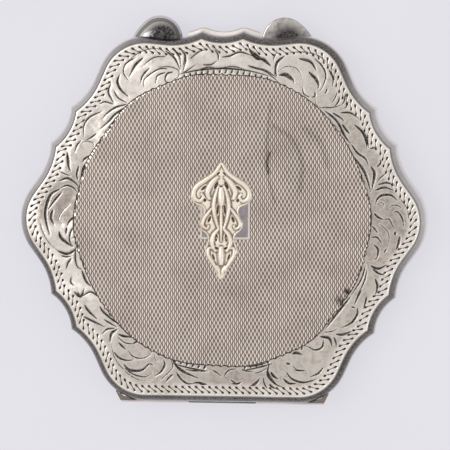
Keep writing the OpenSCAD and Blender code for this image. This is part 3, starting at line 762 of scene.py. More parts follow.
def carve(x, y, cuts):
    """At each point: how deep the cuts go, how dark they are, and how far the nearest one is."""
    points = np.column_stack([x, y])
    depth, dark = np.zeros(len(points)), np.zeros(len(points))
    near = np.full(len(points), 9.0)
    reach = 0.8
    for width, taper, ends in cuts:
        line = through(ends)
        half_w = taper(width, line)
        low, high = line.min(0) - reach, line.max(0) + reach
        inside = np.nonzero(((points > low) & (points < high)).all(1))[0]
        if not len(inside):
            continue
        gap = points[inside, None] - line[None]
        square = (gap ** 2).sum(-1)
        k = square.argmin(1)
        rows = np.arange(len(inside))
        away = np.sqrt(square[rows, k])
        along = np.gradient(line, axis=0)[k]
        across = gap[rows, k]
        side = np.sign(along[:, 0] * across[:, 1] - along[:, 1] * across[:, 0])
        s = side * away / half_w[k]
        wall = np.minimum((s + 1) / (1 + CUT_APEX), (1 - s) / (1 - CUT_APEX))
        wall = np.clip(wall, 0, 1)
        depth[inside] = np.maximum(depth[inside], CUT_DEPTH * 2 * half_w[k] * wall)
        # The steep flank is painted dark, patina with painted dark reflection; the broad flank is left
        # bright.
        steep = np.where(s < 0.35, 1, 0.15)
        dark[inside] = np.maximum(dark[inside], np.clip(wall * 5 - 0.3, 0, 1) * steep)
        near[inside] = np.minimum(near[inside], np.maximum(away - half_w[k], 0))
    return depth, dark, near


BORDER_COLUMNS, BORDER_ROWS = 430, 92
PILLOW = 0.02                         # how far the metal between two cuts is rounded off
PILLOW_W = 0.2


def ribs(first, last, spacing=2.3):
    """Short cuts across a narrow band at the panel's edge, between two angles from the top."""
    band = [(0.34, *[tuple(polar(PANEL_R + 1.05, 90 - a)) for a in np.linspace(first - 1, last + 1, 9)])]
    for a in np.arange(first, last, spacing):
        band.append((0.42, tuple(polar(PANEL_R + 0.1, 90 - a)), tuple(polar(PANEL_R + 0.85, 89.4 - a))))
    return band


STROKES += ribs(-15, 19) + ribs(161, 172) + ribs(186, 198)
scroll_cuts = [(width * BROAD, leaf_cut, flip(ends)) for width, *ends in STROKES]
wedge_cuts = wedge_rows()


def panel_edge(angle):
    """Radius of the border's inner edge: it is wider at the lobes, and the scrolls make it uneven."""
    lobes = 0.25 * (1 + np.cos(np.radians(SIDES * angle)))
    ripple = np.abs(np.sin(np.radians(58 * angle))) * np.sin(np.radians(7 * angle)) ** 2
    return PANEL_R + lobes + 0.1 * np.sin(np.radians(12 * angle)) - 0.28 * ripple


# How dark the engraving is painted, by the angle on the face: tarnish, and painted shade on the sides that
# catch less light. Its outer margin is rubbed clean.
TARNISH_AND_SHADE = [(0, 0.75), (20, 0.65), (40, 0.6), (60, 0.4), (80, 0.3), (100, 0.15), (120, 0.12), (140, 0.35),
           (160, 0.5), (172, 0.85), (179, 0.8), (184, 0.1), (200, 0.15), (214, 0.2), (228, 0.5), (245, 0.6),
           (262, 0.62), (275, 0.78), (290, 0.58), (305, 0.5), (320, 0.55), (340, 0.6)]


def border_sector(k):
    """The border round one lobe: a plate with the cuts sunk into its top."""
    angle = np.linspace(k * STEP - STEP / 2, k * STEP + STEP / 2, BORDER_COLUMNS + 1)
    inner, outer = panel_edge(angle), edge_radius(angle, PLATE_INSET)
    share = np.linspace(0, 1, BORDER_ROWS + 1)
    r = inner[:, None] + (outer - inner)[:, None] * share
    xy = r[..., None] * polar(1, angle)[:, None]
    x, y = xy[..., 0].ravel(), xy[..., 1].ravel()
    deep, dark, near = carve(x, y, scroll_cuts)
    wedge_deep, wedge_dark, _ = carve(x, y, wedge_cuts)
    edge_free = np.clip((r[:, -1:] - r).ravel() / 0.25, 0, 1)
    sink = np.maximum(deep, wedge_deep) + PILLOW * np.exp(-near / PILLOW_W)
    sink = sink * edge_free
    top = np.column_stack([x, y, LID_TOP - sink]).reshape(*r.shape, 3)
    under = top[:, [-1, 0]].copy()
    under[..., 2] = LID_TOP - PLATE_T
    rings = np.concatenate([top, under], axis=1)
    piece = mesh_object(f"lid_border_{k + 1}", *loft(rings))
    dusk = np.maximum(np.maximum(dark, wedge_dark), 0.2 * np.exp(-near / 0.1))
    dusk = np.maximum(dusk, 0.9 * np.exp(-((r - inner[:, None]) / 0.1).ravel() ** 2))
    values = np.concatenate([dusk.reshape(r.shape), np.zeros((len(angle), 2))], axis=1)
    paint(piece, "cut", values.ravel())
    face_angle = np.broadcast_to((angle[:, None] + 180) % 360, r.shape)
    # Painted shade together with tarnish, by the angle on the face.
    film = np.interp(face_angle, *zip(*TARNISH_AND_SHADE), period=360)
    inset = outer[:, None] + PLATE_INSET - EDGE_FLARE - r
    film = film * np.clip((inset - 1.5) / 1.2, 0.2, 1)
    # Painted highlight: the tarnish is cleared next to the cuts, so their edges stay bright.
    film = film * (1 - 0.9 * np.exp(-(near.reshape(r.shape) / 0.16) ** 2))
    paint(piece, "tarnish_and_shade", np.concatenate([film, film[:, :2]], axis=1).ravel())
    return dress(piece, engraved, "lid", sharp=28)


for sector in range(SIDES):
    border_sector(sector)


# ---- The engine-turned panel --------------------------------------------------------------

GROOVE_HALF_W = 0.088
GROOVE_DEPTH = 0.11
WAVE = 0.09                            # how far each groove swings to either side
ROWS_PER_WAVE = 6


# Tarnish on the panel: its strength and width, then the points it runs through, (right, up)
STAINS = [
    (0.25, 0.5, (9.4, 22.4), (8.8, 15.0), (9.0, 9.0), (10.4, 3.6)),
    (0.6, 0.6, (9.3, 13.2), (8.8, 11.4), (9.1, 9.4)),
    (0.18, 0.9, (10.0, 18.5), (13.5, 16.0), (15.6, 11.5), (15.2, 6.0)),
    (0.14, 1.2, (16.0, 18.0), (19.0, 15.5), (20.5, 11.0)),
    (0.85, 0.9, (24.4, -13.4), (25.4, -14.2), (26.2, -14.0)),
    (0.45, 1.6, (23.0, -15.2), (25.5, -16.2), (27.0, -12.6)),
]


def stains(x, y):
    points = np.column_stack([x, y])
    film = np.zeros(len(points))
    for strength, width, *ends in STAINS:
        for p in flip(through(ends, 0.4)):
            far = ((points - p) ** 2).sum(1) / (width / 2) ** 2
            film = np.maximum(film, strength * np.exp(-far))
    return film


def engine_turned_panel():
    """Wavy grooves, each out of step with the next, that leave rows of barleycorn grains."""
    reach = PANEL_R + 1.1
    n = int(reach / GROOVE_PITCH)
    grooves = np.arange(-n, n + 1)
    ys = np.arange(-reach, reach, WAVE_L / ROWS_PER_WAVE)
    centre = (grooves * GROOVE_PITCH)[:, None] + WAVE * np.sin(
        2 * np.pi * ys[None] / WAVE_L + np.pi * grooves[:, None])
    across = np.array([-GROOVE_HALF_W, 0, GROOVE_HALF_W])
    x = (centre[:, None, :] + across[None, :, None]).reshape(-1, len(ys))
    y = np.broadcast_to(ys, x.shape)
    bottom = np.tile([0, 1, 0], len(grooves))[:, None] * np.ones(len(ys))
    r = np.hypot(x, y)
    hidden = np.clip((r - panel_edge(np.degrees(np.arctan2(y, x))) + 0.1) / 0.4, 0, 1)
    z = LID_TOP - 0.03 - GROOVE_DEPTH * bottom - 0.3 * hidden
    index = np.arange(x.size).reshape(x.shape)
    quads = np.stack([index[:-1, :-1], index[1:, :-1], index[1:, 1:], index[:-1, 1:]], -1)
    kept = (r[:-1, :-1] < reach) & (r[1:, :-1] < reach) & (r[1:, 1:] < reach) & (r[:-1, 1:] < reach)
    quads = quads[kept]
    used, faces = np.unique(quads, return_inverse=True)
    points = np.column_stack([x.ravel(), y.ravel(), z.ravel()])[used]
    piece = mesh_object("lid_engine_turned_panel", points, faces.reshape(-1, 4).tolist())
    paint(piece, "cut", np.maximum(bottom.ravel()[used], stains(*points[:, :2].T)))
    close_below(piece, LID_TOP - 0.55)
    return dress(piece, engine_turned, "lid", sharp=30)


def close_below(piece, z):
    """Gives an open plate a side wall and a flat underside."""
    bm = bmesh.new()
    bm.from_mesh(piece.data)
    rim = [e for e in bm.edges if e.is_boundary]
    made = bmesh.ops.extrude_edge_only(bm, edges=rim)["geom"]
    for v in (g for g in made if isinstance(g, bmesh.types.BMVert)):
        v.co.z = z * MM
    low = [g for g in made if isinstance(g, bmesh.types.BMEdge) and g.is_boundary]
    bmesh.ops.edgeloop_fill(bm, edges=low)
    bmesh.ops.recalc_face_normals(bm, faces=bm.faces)
    bm.to_mesh(piece.data)
    bm.free()


engine_turned_panel()


# ---- The cartouche and the ornament ---------------------------------------------------------

CARTOUCHE = ((-4.2, -3.6), (5.6, 3.8))   # its corners, (right, up) on the face


def cartouche():
    """A polished tablet under the ornament, framed by a raised line."""
    (left, low), (right, high) = CARTOUCHE

    def rectangle(i, z):
        corners = [(left + i, low + i), (right - i, low + i), (right - i, high - i), (left + i, high - i)]
        return at_height(flip(corners), LID_TOP + z)

    edge = [(0.2, -PLATE_T), (0.2, -0.05), (0.24, -0.015), (0.3, 0)]
    ground = mesh_object("lid_tablet", *loft([rectangle(i, z) for i, z in edge]))
    dress(ground, tablet, "lid", sharp=20)
    section = [(0, -PLATE_T), (0, 0.02), (0.07, 0.07), (0.18, 0.07), (0.24, 0.01), (0.3, 0.01),
               (0.34, 0.06), (0.42, 0.06), (0.48, -0.01), (0.48, -PLATE_T)]
    frame_line = mesh_object("lid_tablet_frame", *loft([rectangle(i, z) for i, z in section], wrap=True))
    return dress(frame_line, silver, "lid", sharp=20)


# A palmette of leaf scrolls, alike on both sides. The strands of its right half: width, height
# above the lid, and the points each runs through, (right, up) on the face.
STRANDS = [
    (1.25, 0.62, (0.1, 11.2), (1.3, 9.3), (3.0, 8.0), (4.6, 6.9), (5.4, 5.6), (5.1, 4.3), (4.1, 3.9),
     (3.5, 4.7), (4.0, 5.3)),
    (1.5, 0.74, (0.6, 8.7), (1.9, 7.3), (2.7, 5.6), (2.3, 4.1)),
    (1.1, 0.80, (0.5, 7.0), (1.2, 4.8), (1.5, 2.6), (1.1, 0.4), (0.5, -1.6)),
    (1.0, 0.70, (1.5, 2.9), (2.5, 1.6), (3.4, 0.3), (3.6, -0.9), (2.8, -1.5), (2.4, -0.8)),
    (1.3, 0.76, (0.5, -1.5), (1.5, -2.8), (1.8, -4.4), (1.0, -6.0)),
    (1.1, 0.70, (0.5, -9.8), (1.6, -8.2), (2.5, -6.6), (2.4, -5.3), (1.6, -5.3)),
    (1.2, 0.62, (0.9, -8.7), (0.3, -9.9), (0.1, -11.2)),
]
MIDDLE_STRANDS = [
    (1.9, 0.86, (0, 6.6), (0, 4.8), (0, 3.0)),
    (0.9, 0.82, (0, 3.4), (0, 0), (0, -4.0)),
    (1.7, 0.80, (0, -4.9), (0, -6.8), (0, -8.6)),
]
# The right half of the plaque that they lie on: its edge, from the top down
PLAQUE_HALF = [
    (0, 11.3), (1.3, 9.5), (2.9, 8.4), (4.4, 7.3), (5.6, 6.0), (5.8, 4.5), (4.9, 3.4), (3.6, 2.8),
    (3.2, 1.8), (3.6, 0.6), (4.1, -0.5), (3.7, -1.7), (2.8, -2.5), (2.4, -3.6), (2.8, -4.8),
    (3.0, -6.0), (2.4, -7.4), (1.3, -9.1), (0, -11.3),
]
# Slots sunk into its right half, almost down to the lid: (right, up), half-length, half-width and
# the angle they lie at
SLOTS = [
    (1.0, 6.9, 0.75, 0.26, 115), (3.4, 6.4, 0.6, 0.22, 140), (3.2, 4.0, 0.3, 0.26, 90),
    (0.7, 2.2, 0.9, 0.2, 95), (2.3, 0.3, 0.6, 0.22, 110), (0.95, -3.3, 0.7, 0.22, 95),
    (0.9, -5.3, 0.35, 0.2, 30), (1.5, -7.0, 0.6, 0.17, 70), (0.6, 9.2, 0.4, 0.14, 130),
]


STRANDS += [(w, h, *[(-u, v) for u, v in ends]) for w, h, *ends in STRANDS] + MIDDLE_STRANDS
SLOTS += [(-u, v, half_l, half_w, 180 - lie) for u, v, half_l, half_w, lie in SLOTS]
PLAQUE = PLAQUE_HALF + [(-u, v) for u, v in PLAQUE_HALF[-2:0:-1]]


def strand_tube(width, height, *ends):
    """A strand with a half-round section, thinner towards its ends."""
    line = flip(through(ends, 0.2))
    along = np.gradient(line, axis=0)
    along /= np.hypot(*along.T)[:, None]
    across = np.column_stack([-along[:, 1], along[:, 0]])
    swell = 0.55 + 0.45 * np.sin(np.pi * np.linspace(0.04, 0.96, len(line)))
    section = np.radians(np.arange(0, 360, 30))
    rings = []
    for p, side, w in zip(line, across, swell):
        flat = p + side * (np.cos(section) * width / 2 * w)[:, None]
        z = LID_TOP + 0.12 + np.sin(section) * (height - 0.1) * (0.6 + 0.4 * w)
        rings.append(np.column_stack([flat, np.maximum(z, LID_TOP - 0.05)]))
    return loft(rings)


def crevices(piece, rounds=3):
    """How deep each point lies in a hollow of the mesh, from 0 to 1."""
    mesh = piece.data
    place, normal = np.empty(len(mesh.vertices) * 3), np.empty(len(mesh.vertices) * 3)
    mesh.vertices.foreach_get("co", place)
    mesh.vertices.foreach_get("normal", normal)
    place, normal = place.reshape(-1, 3) / MM, normal.reshape(-1, 3)
    edges = np.empty(len(mesh.edges) * 2, int)
    mesh.edges.foreach_get("vertices", edges)
    a, b = edges.reshape(-1, 2).T
    count = np.bincount(np.concatenate([a, b]), minlength=len(place))

    def spread(values):
        total = np.bincount(a, values[b], len(place)) + np.bincount(b, values[a], len(place))
        return total / count

    around = place
    for _ in range(rounds):
        around = np.column_stack([spread(around[:, i]) for i in range(3)])
    hollow = np.clip(((around - place) * normal).sum(1) / 0.012 - 0.1, 0, 1)
    return np.clip((hollow + spread(hollow)) * 0.7, 0, 1)


def ornament():
    """A casting of crossing scrolls with sunk slots, melted into one and softened as castings are."""
    closed = through(PLAQUE + PLAQUE[:1], 0.25)[:-1]
    edge = flip(closed)
    inner = flip(closed * 0.985)
    plaque = loft([at_height(inner, LID_TOP + 0.4), at_height(edge, LID_TOP + 0.3),
                   at_height(edge, LID_TOP - 0.1)])
    meshes = [plaque, strand_tube(0.5, 0.52, *PLAQUE, *PLAQUE[:2])]
    meshes += [strand_tube(*strand) for strand in STRANDS]
    points, faces, count = [], [], 0
    for p, f in meshes:
        points.append(p)
        faces += [[i + count for i in face] for face in f]
        count += len(p)
    piece = mesh_object("ornament_casting", np.concatenate(points), faces)
    melt = piece.modifiers.new("melt", "REMESH")
    melt.mode = "VOXEL"
    melt.voxel_size = 0.11 * MM
    soften = piece.modifiers.new("soften", "SMOOTH")
    soften.iterations = 2
    applied(piece)
    place = np.array([v.co for v in piece.data.vertices]) / MM
    pierced = np.zeros(len(place))
    for u, v, half_l, half_w, lie in SLOTS:
        gap = place[:, :2] - flip((u, v))
        along, across = gap @ polar(1, lie) / half_l, gap @ polar(1, lie + 90) / half_w
        pierced = np.maximum(pierced, np.clip(1.6 - 1.3 * np.hypot(along, across), 0, 1))
    sunk = np.maximum(place[:, 2] - 0.4 * pierced, LID_TOP + 0.02)
    place[:, 2] = np.where(pierced > 0, np.minimum(place[:, 2], sunk), place[:, 2])
    piece.data.vertices.foreach_set("co", (place * MM).ravel())
    # Darker in the casting's hollows, and the sunk slots painted dark as painted shade, as if pierced
    # through.
    paint(piece, "cut", np.maximum(0.6 * crevices(piece), np.clip(pierced * 1.3, 0, 1)))
    return dress(piece, pale_gold, "lid", ["ornament"], sharp=180)


tablet = worn_metal("tablet_silver", (0.34, 0.31, 0.33), (0.20, 0.17, 0.19), 0.14, blotch=0.25).material
cartouche()
ornament()


# ---- Thumb pieces and the front lip ------------------------------------------------------------

FLANK_OUT = 1.5                       # how far a thumb piece's outer flank runs out along the wall


def thumb_piece(name, node, z_seam, out, body, dish, finish, bent=(0, 0)):
    """A dome on a flat seam face. out is 1 when the dome is up, -1 when it is down. bent is how far
    use has pushed it out of place."""
    low, high = box_mm(node)
    r, h = (high[0] - low[0]) / 2, high[2] - low[2]
    centre = np.array([(low[0] + high[0]) / 2, low[1] + r]) + bent
    soft = 0.12
    profile = [(0.4, dish), (r * 0.45, dish * 0.8), (r * 0.8, dish * 0.15), (r - 0.5, 0), (r - soft, 0),
               (r - 0.03, soft * 0.4), (r, soft)]
    for a in np.linspace(8, 86, 16):
        a = math.radians(a)
        profile.append((r * math.cos(a) ** 0.9, soft + (h - soft) * math.sin(a)))
    rings = turned_rings([(max(radius, 0.12), z_seam + out * z) for radius, z in profile], 72, centre)
    points, faces = loft(rings if out > 0 else rings[::-1])
    outer = math.copysign(1, centre[0])
    sideways = np.clip((points[:, 0] - centre[0]) * outer / r, 0, 1)
    rearwards = np.clip((points[:, 1] - low[1] - 0.35 * r) / r, 0, 1)
    points[:, 0] += outer * FLANK_OUT * sideways * rearwards
    piece = mesh_object(name, points, faces)
    wall = shoulder(LID_RIM, LID_TOP) if out > 0 else shoulder(BASE_RIM, 0)[::-1]
    keep_out = [(z, inset + 0.05) for z, inset in wall]
    keep_out[0 if out > 0 else -1] = (z_seam - out * 0.3, 0.05)
    cut_by(piece, *loft(outline_rings(keep_out)))

    def shade(x, y, z):
        """A painted dark reflection near the middle, and painted shade on the side next to the wall."""
        dark_reflection = 1.7 - np.hypot(x - centre[0] + 0.7, y - centre[1] - 0.2) / (0.55 * r)
        return np.clip(np.maximum(dark_reflection, (y - centre[1]) / 1.2), 0, 1)

    # Painted dark reflection and painted shade on the thumb piece.
    paint_by_place(piece, "cut", shade)
    return dress(piece, finish, body, [node], sharp=50)


def front_lip():
    """The ledge between the thumb pieces: rounder than the rim it grows from."""
    low, high = box_mm("base_front_lip")
    out = 0.8
    x = np.linspace(low[0], high[0], 90)

    def front(d):
        points = outline(d)
        points = points[(points[:, 1] < -30) & (abs(points[:, 0]) < 16)]
        order = points[:, 0].argsort()
        y = np.interp(x, points[order, 0], points[order, 1])
        window = np.hanning(2 + max(1, int(6 - d * 22)))[1:-1]
        padded = np.pad(y, len(window) // 2, mode="edge")
        return np.convolve(padded, window / window.sum(), mode="valid")[:len(x)]

    thick = high[2] - low[2]
    section = [(0.5, low[2]), (0, low[2])]
    for a in np.radians(range(15, 180, 15)):
        section.append((-out * math.sin(a) ** 0.4, low[2] + thick * (1 - math.cos(a)) / 2))
    section += [(0, high[2]), (0.5, high[2])]
    columns = [np.column_stack([x, front(d), np.full(len(x), z)]) for d, z in section]
    rings = np.stack(columns, axis=1)
    piece = mesh_object("base_front_ledge", *loft(rings))
    # Painted shade: the ledge is darker below its middle, where it turns under.
    paint_by_place(piece, "cut", lambda x, y, z: np.clip((low[2] + 0.62 * thick - z) / 0.3, 0, 1))
    return dress(piece, wall_silver, "base", ["base_front_lip"], sharp=40)


thumb_piece("thumb_dome_lid", "lid_thumb_piece", LID_RIM, 1, "lid", 0.0, nub_silver)
thumb_piece("thumb_dome_base", "base_thumb_piece", BASE_RIM, -1, "base", 0.22, nub_tarnish_and_reflection,
            bent=(0.6, 0.4))
front_lip()


# ---- Hinge -----------------------------------------------------------------------------------

def knuckle(name, node, material, body, shrink=0.0):
    """A length of drawn tube with chamfered ends."""
    low, high = box_mm(node)
    half_l, soft = (high[0] - low[0]) / 2, 0.14
    r, bore = BARREL_R - shrink, 0.55
    profile = [(bore, -half_l), (r - soft, -half_l), (r - soft * 0.3, -half_l + soft * 0.3),
               (r, -half_l + soft)]
    profile += [(r, s * half_l * 0.9) for s in (-0.6, 0, 0.6)]
    profile += [(a, -z) for a, z in profile[3::-1]]
    rings = turned_rings(profile, 56)
    points, faces = loft(rings, wrap=True)
    piece = mesh_object(name, along_x(points, ((low[0] + high[0]) / 2, HINGE[1], HINGE[2])), faces)
    return dress(piece, material, body, [node], sharp=35)


knuckle("hinge_tube_left", "base_hinge_knuckle_left", hinge_silver, "base")
knuckle("hinge_tube_right", "base_hinge_knuckle_right", hinge_silver, "base")
knuckle("hinge_tube_middle", "lid_hinge_knuckle", hinge_dark, "lid", 0.05)


# ---- Inside: the mirror side ------------------------------------------------------------------

BEARER_FRONT = box_mm("base_hinge_bearer")[0][1] - 0.1
BEARER_HALF_L = 20.7


def rear_cut(angle, r, y, half_l=99, blend=1.0):
    """The radius r, held in front of the straight line at y along the hinge."""
    up = np.maximum(np.sin(np.radians(angle)), 0.05)
    reach = y / up
    near = np.clip((half_l - abs(reach * np.cos(np.radians(angle)))) / blend, 0, 1)
    return np.minimum(r, reach * near + r * (1 - near))


def ring_plate(name, angle, columns):
    """A plate closed round a hole. Each column is a radius and a height: one for all angles, or one
    for each."""
    rings = [at_height(polar(np.broadcast_to(r, angle.shape), angle), z) for r, z in columns]
    return mesh_object(name, *loft(rings, wrap=True))


def mirror_surround():
    """The gilt plate round the mirror, with a milled bead at its opening."""
    low, high = box_mm("mirror_frame")
    angle = np.arange(1440) / 4
    milled = 0.75 + 0.25 * abs(np.sin(np.radians(90 * angle)))
    outer = rear_cut(angle, edge_radius(angle, 1.1), BEARER_FRONT, BEARER_HALF_L)
    opening = box_mm("mirror_glass")[1][0] - 0.9
    columns = [(opening, high[2]), (opening, low[2] + 0.1)]
    bead = 0.32 * milled
    for a in np.radians(np.linspace(10, 170, 11)):
        columns.append((opening + 0.35 - bead * math.cos(a), low[2] - bead * math.sin(a)))
    columns += [(opening + 0.75, low[2] + 0.04), (opening + 1.1, low[2]), (outer - 0.3, low[2]),
                (outer - 0.22, low[2] + 0.05), (outer - 0.12, low[2]), (outer, low[2] + 0.08),
                (outer, high[2])]
    piece = ring_plate("mirror_surround", angle, columns[::-1])
    paint_by_place(piece, "cut", lambda x, y, z: np.exp(-((np.hypot(x, y) - opening - 0.8) / 0.15) ** 2))
    return dress(piece, gilt, "lid", ["mirror_frame"], sharp=40)


# ---- Inside: the powder side ------------------------------------------------------------------

RAYS = 48


def rays(r, angle, inner, outer, count, deep):
    """Depth of a pattern of curved rays between two radii, cut on a rose engine."""
    turn = np.radians(count * (angle + 14 * np.sin((r - inner) / 2.2)))
    soft = np.clip(np.minimum(r - inner, outer - r) / 0.8, 0, 1)
    return deep * soft * (0.5 + 0.5 * np.cos(turn)) * (0.55 + 0.45 * np.cos(2 * np.pi * (r - inner) / 1.2))


def rayed_plate(name, r_max, z, thick, out, deep, inner, outer):
    """A plate whose face is turned with rays. out is 1 when the face is up, -1 when it is down."""
    angle = np.arange(720) / 2
    edge = r_max(angle)
    columns = []
    for share in np.linspace(0.02, 1, 72):
        r = edge * share
        rim_bead = 0.14 * np.exp(-((edge - r - 0.6) / 0.3) ** 2)
        boss_bead = 0.1 * np.exp(-((r - inner + 0.5) / 0.25) ** 2)
        softened = 0.12 * np.clip(1 - (edge - r) / 0.12, 0, 1)
        relief = rim_bead + boss_bead - rays(r, angle, inner, outer, RAYS, deep) - softened
        columns.append((r, z + out * (relief - 0.02)))
    columns.append((edge, z - out * thick))
    rings = [at_height(polar(r, angle), height) for r, height in columns]
    return mesh_object(name, *loft(rings[::-1] if out > 0 else rings))


def inner_door():
    low, high = box_mm("powder_door")
    r = high[0]
    rear = box_mm("door_knuckle")[0][1] - 0.2

    def edge(angle):
        body = rear_cut(angle, r, rear)
        tongue = rear_cut(angle, r, rear + 0.25, half_l=2.6, blend=0.3)
        at = abs(body * np.cos(np.radians(angle)))
        return np.where((at < 2.4) & (angle > 60) & (angle < 120), tongue, body)

    piece = rayed_plate("inner_door_plate", edge, high[2], high[2] - low[2], 1, 0.12, 5.5, r - 2.4)
    return dress(piece, gilt, "door", ["powder_door"], sharp=40)


UNDER_PLATE_R = 28.0


def under_plate():
    """The turned plate let into the underside."""
    piece = rayed_plate("base_turned_plate", lambda angle: np.full(len(angle), UNDER_PLATE_R),
                        0.18, 0.5, -1, 0.14, 7, 26)
    paint_by_place(piece, "cut", lambda x, y, z: np.clip((z - 0.2) / 0.12, 0, 1))
    return dress(piece, engine_turned, "base", sharp=40)


def pan():
    """The spun powder pan, with a rolled rim."""
    low, high = box_mm("powder_pan")
    r, bore = high[0], 24.0
    roll = (r - bore) / 2
    profile = [(0.3, low[2]), (r - 0.5, low[2]), (r - 0.12, low[2] + 0.12), (r, low[2] + 0.5)]
    for a in np.radians(range(0, 181, 15)):
        profile.append((r - roll + roll * math.cos(a), high[2] - roll + roll * math.sin(a)))
    profile += [(bore, low[2] + 0.6), (bore - 0.12, low[2] + 0.3), (0.3, low[2] + 0.3)]
    piece = mesh_object("spun_pan", *loft(turned_rings(profile, 180)))
    return dress(piece, gilt, "base", ["powder_pan"], sharp=40)


def plump(points, faces, held, grown=20, cap=14, frames=20):
    """The points of a soft closed form after it is filled with air as a sewn cloth. It is worked on
    a copy that is grown times the size, in which no point goes further than cap."""
    scene = bpy.context.scene
    piece = mesh_object("filling", points * grown, faces)
    group = piece.vertex_groups.new(name="held")
    group.add([int(i) for i in np.nonzero(held)[0]], 1, "REPLACE")
    cloth = piece.modifiers.new("air", "CLOTH")
    cloth.settings.use_pressure = True
    cloth.settings.uniform_pressure_force = 4
    cloth.settings.vertex_group_mass = "held"
    cloth.settings.effector_weights.gravity = 0
    cloth.settings.quality = 5
    cloth.point_cache.frame_end = frames
    for step in range(1, frames + 1):
        scene.frame_set(step)
    applied(piece)
    filled = np.array([v.co for v in piece.data.vertices]) / MM
    bpy.data.objects.remove(piece)
    scene.frame_set(1)
    moved = filled - points * grown
    far = np.maximum(np.hypot(np.hypot(*moved[:, :2].T), moved[:, 2]) / cap, 1)[:, None]
    return points + moved / far / grown


PUFF_LOW, PUFF_HIGH = box_mm("puff")
PUFF_R, SEAM_Z = PUFF_HIGH[0], (PUFF_LOW[2] + PUFF_HIGH[2]) / 2 - 0.1
RIBBON_W, RIBBON_REACH = 10.0, 21.0


def puff():
    """A velour puff: two rounds sewn together at the edge and filled, and sewn down where the
    ribbon's ends are."""
    r_seam = PUFF_R - 0.55
    radii = np.concatenate([np.linspace(0.8, r_seam - 1.2, 16), [r_seam - 0.6, r_seam - 0.2]])
    crown = 0.75 * (1 - (radii / r_seam) ** 6) ** 0.5
    profile = [(r, SEAM_Z - 0.55 * c) for r, c in zip(radii, crown)] + [(r_seam, SEAM_Z)]
    profile += [(r, SEAM_Z + c) for r, c in zip(radii[::-1], crown[::-1])]
    points, faces = loft(turned_rings(profile, 96))
    r = np.hypot(*points[:, :2].T)
    tacks = np.minimum(np.hypot(points[:, 0] - RIBBON_REACH + 2, points[:, 1]),
                       np.hypot(points[:, 0] + RIBBON_REACH - 2, points[:, 1]))
    held = (r > r_seam - 0.05) | (tacks < 1.0)
    points = plump(points, faces, held)
    points[:, 2] = np.clip(points[:, 2], PUFF_LOW[2] + 0.02, PUFF_HIGH[2] - 0.04)
    rng = np.random.default_rng(7)
    points[:, 2] += np.where(r < r_seam - 0.5, rng.normal(0, 0.012, len(points)), 0)
    piece = mesh_object("velour_puff", points, faces)
    smooth = piece.modifiers.new("smooth", "SUBSURF")
    smooth.levels = 1
    applied(piece)
    dress(piece, velour, "base", ["puff"], sharp=180)
    # The seam is covered by a twisted piping.
    twists = 96
    samples = 12 * twists
    a = np.arange(samples) * 360 / samples
    rings = []
    for b in range(0, 360, 45):
        wide = 0.25 + 0.05 * np.cos(np.radians(twists * a + b))
        across = polar(r_seam + 0.12 + wide * math.cos(math.radians(b)), a)
        rings.append(at_height(across, SEAM_Z + wide * math.sin(math.radians(b))))
    piping = mesh_object("puff_piping", *loft(rings[::-1], wrap=True))
    dress(piping, satin, "base", sharp=180)
    return points


def ribbon(below):
    """The satin band over the puff. It lies on the velour and dips where it is sewn down."""
    across, along = 12, 90
    y = np.linspace(-RIBBON_W / 2, RIBBON_W / 2, across + 1)
    x = np.linspace(-RIBBON_REACH, RIBBON_REACH, along + 1)
    grid_x, grid_y = np.meshgrid(x, y, indexing="ij")
    grid_y = grid_y * (1 - 0.12 * np.exp(-((RIBBON_REACH - 2 - abs(grid_x)) / 1.2) ** 2))
    upper = below[below[:, 2] > SEAM_Z + 0.01]
    gap = (grid_x.ravel()[:, None] - upper[:, 0]) ** 2 + (grid_y.ravel()[:, None] - upper[:, 1]) ** 2
    share = np.exp(-gap / 0.8)
    lie = (share @ upper[:, 2] / share.sum(1)).reshape(grid_x.shape)
    from_end = RIBBON_REACH - abs(grid_x)
    ripple = 0.02 * np.sin(grid_y * 2.1 + 0.5 * np.sin(grid_x / 5)) * np.exp(-(from_end / 4) ** 2)
    z = np.minimum(lie + 0.03 + ripple, PUFF_HIGH[2] - 0.01)
    top = np.stack([grid_x, grid_y, z + 0.07], -1)
    low = top[:, ::-1] - (0, 0, 0.07)
    rings = np.concatenate([top, low], axis=1)
    piece = mesh_object("puff_band", *loft(rings))
    return dress(piece, satin, "base", ["puff_ribbon"], sharp=60)


def gauze_disc():
    """The sifter's gauze: stretched in its ring, and sagging a little over the powder."""
    low, high = box_mm("sifter_gauze")
    r, z = high[0] + 0.3, (low[2] + high[2]) / 2
    radii = np.linspace(0.4, r, 24)
    upper = [(a, z - 0.1 * (1 - (a / r) ** 2)) for a in radii]
    profile = upper + [(a, b - 0.04) for a, b in upper[::-1]]
    piece = mesh_object("sifter_cloth", *loft(turned_rings(profile[::-1], 120)))
    return dress(piece, gauze, "base", ["sifter_gauze"], sharp=60)


def woven(name, bright, dull, threads_mm, sheen, rough=0.9, deep=0.02):
    """Cloth: crossing threads, a little uneven in colour."""
    f = Finish(name, Roughness=rough, Sheen_Weight=sheen, Sheen_Roughness=0.4, Specular_IOR_Level=0.2)
    waves = []
    for direction in ("X", "Y"):
        wave = f.add("ShaderNodeTexWave", Vector=f.place, Scale=threads_mm / MM / 2,
                     bands_direction=direction)
        waves.append(wave.outputs["Fac"])
    weave = f.math("MULTIPLY", *waves)
    blotch = f.ramp(f.noise(0.3, 4), 0.35, 0.7)
    f.tint(f.math("MULTIPLY", blotch, weave), bright, dull)
    return f.bump(weave, deep)


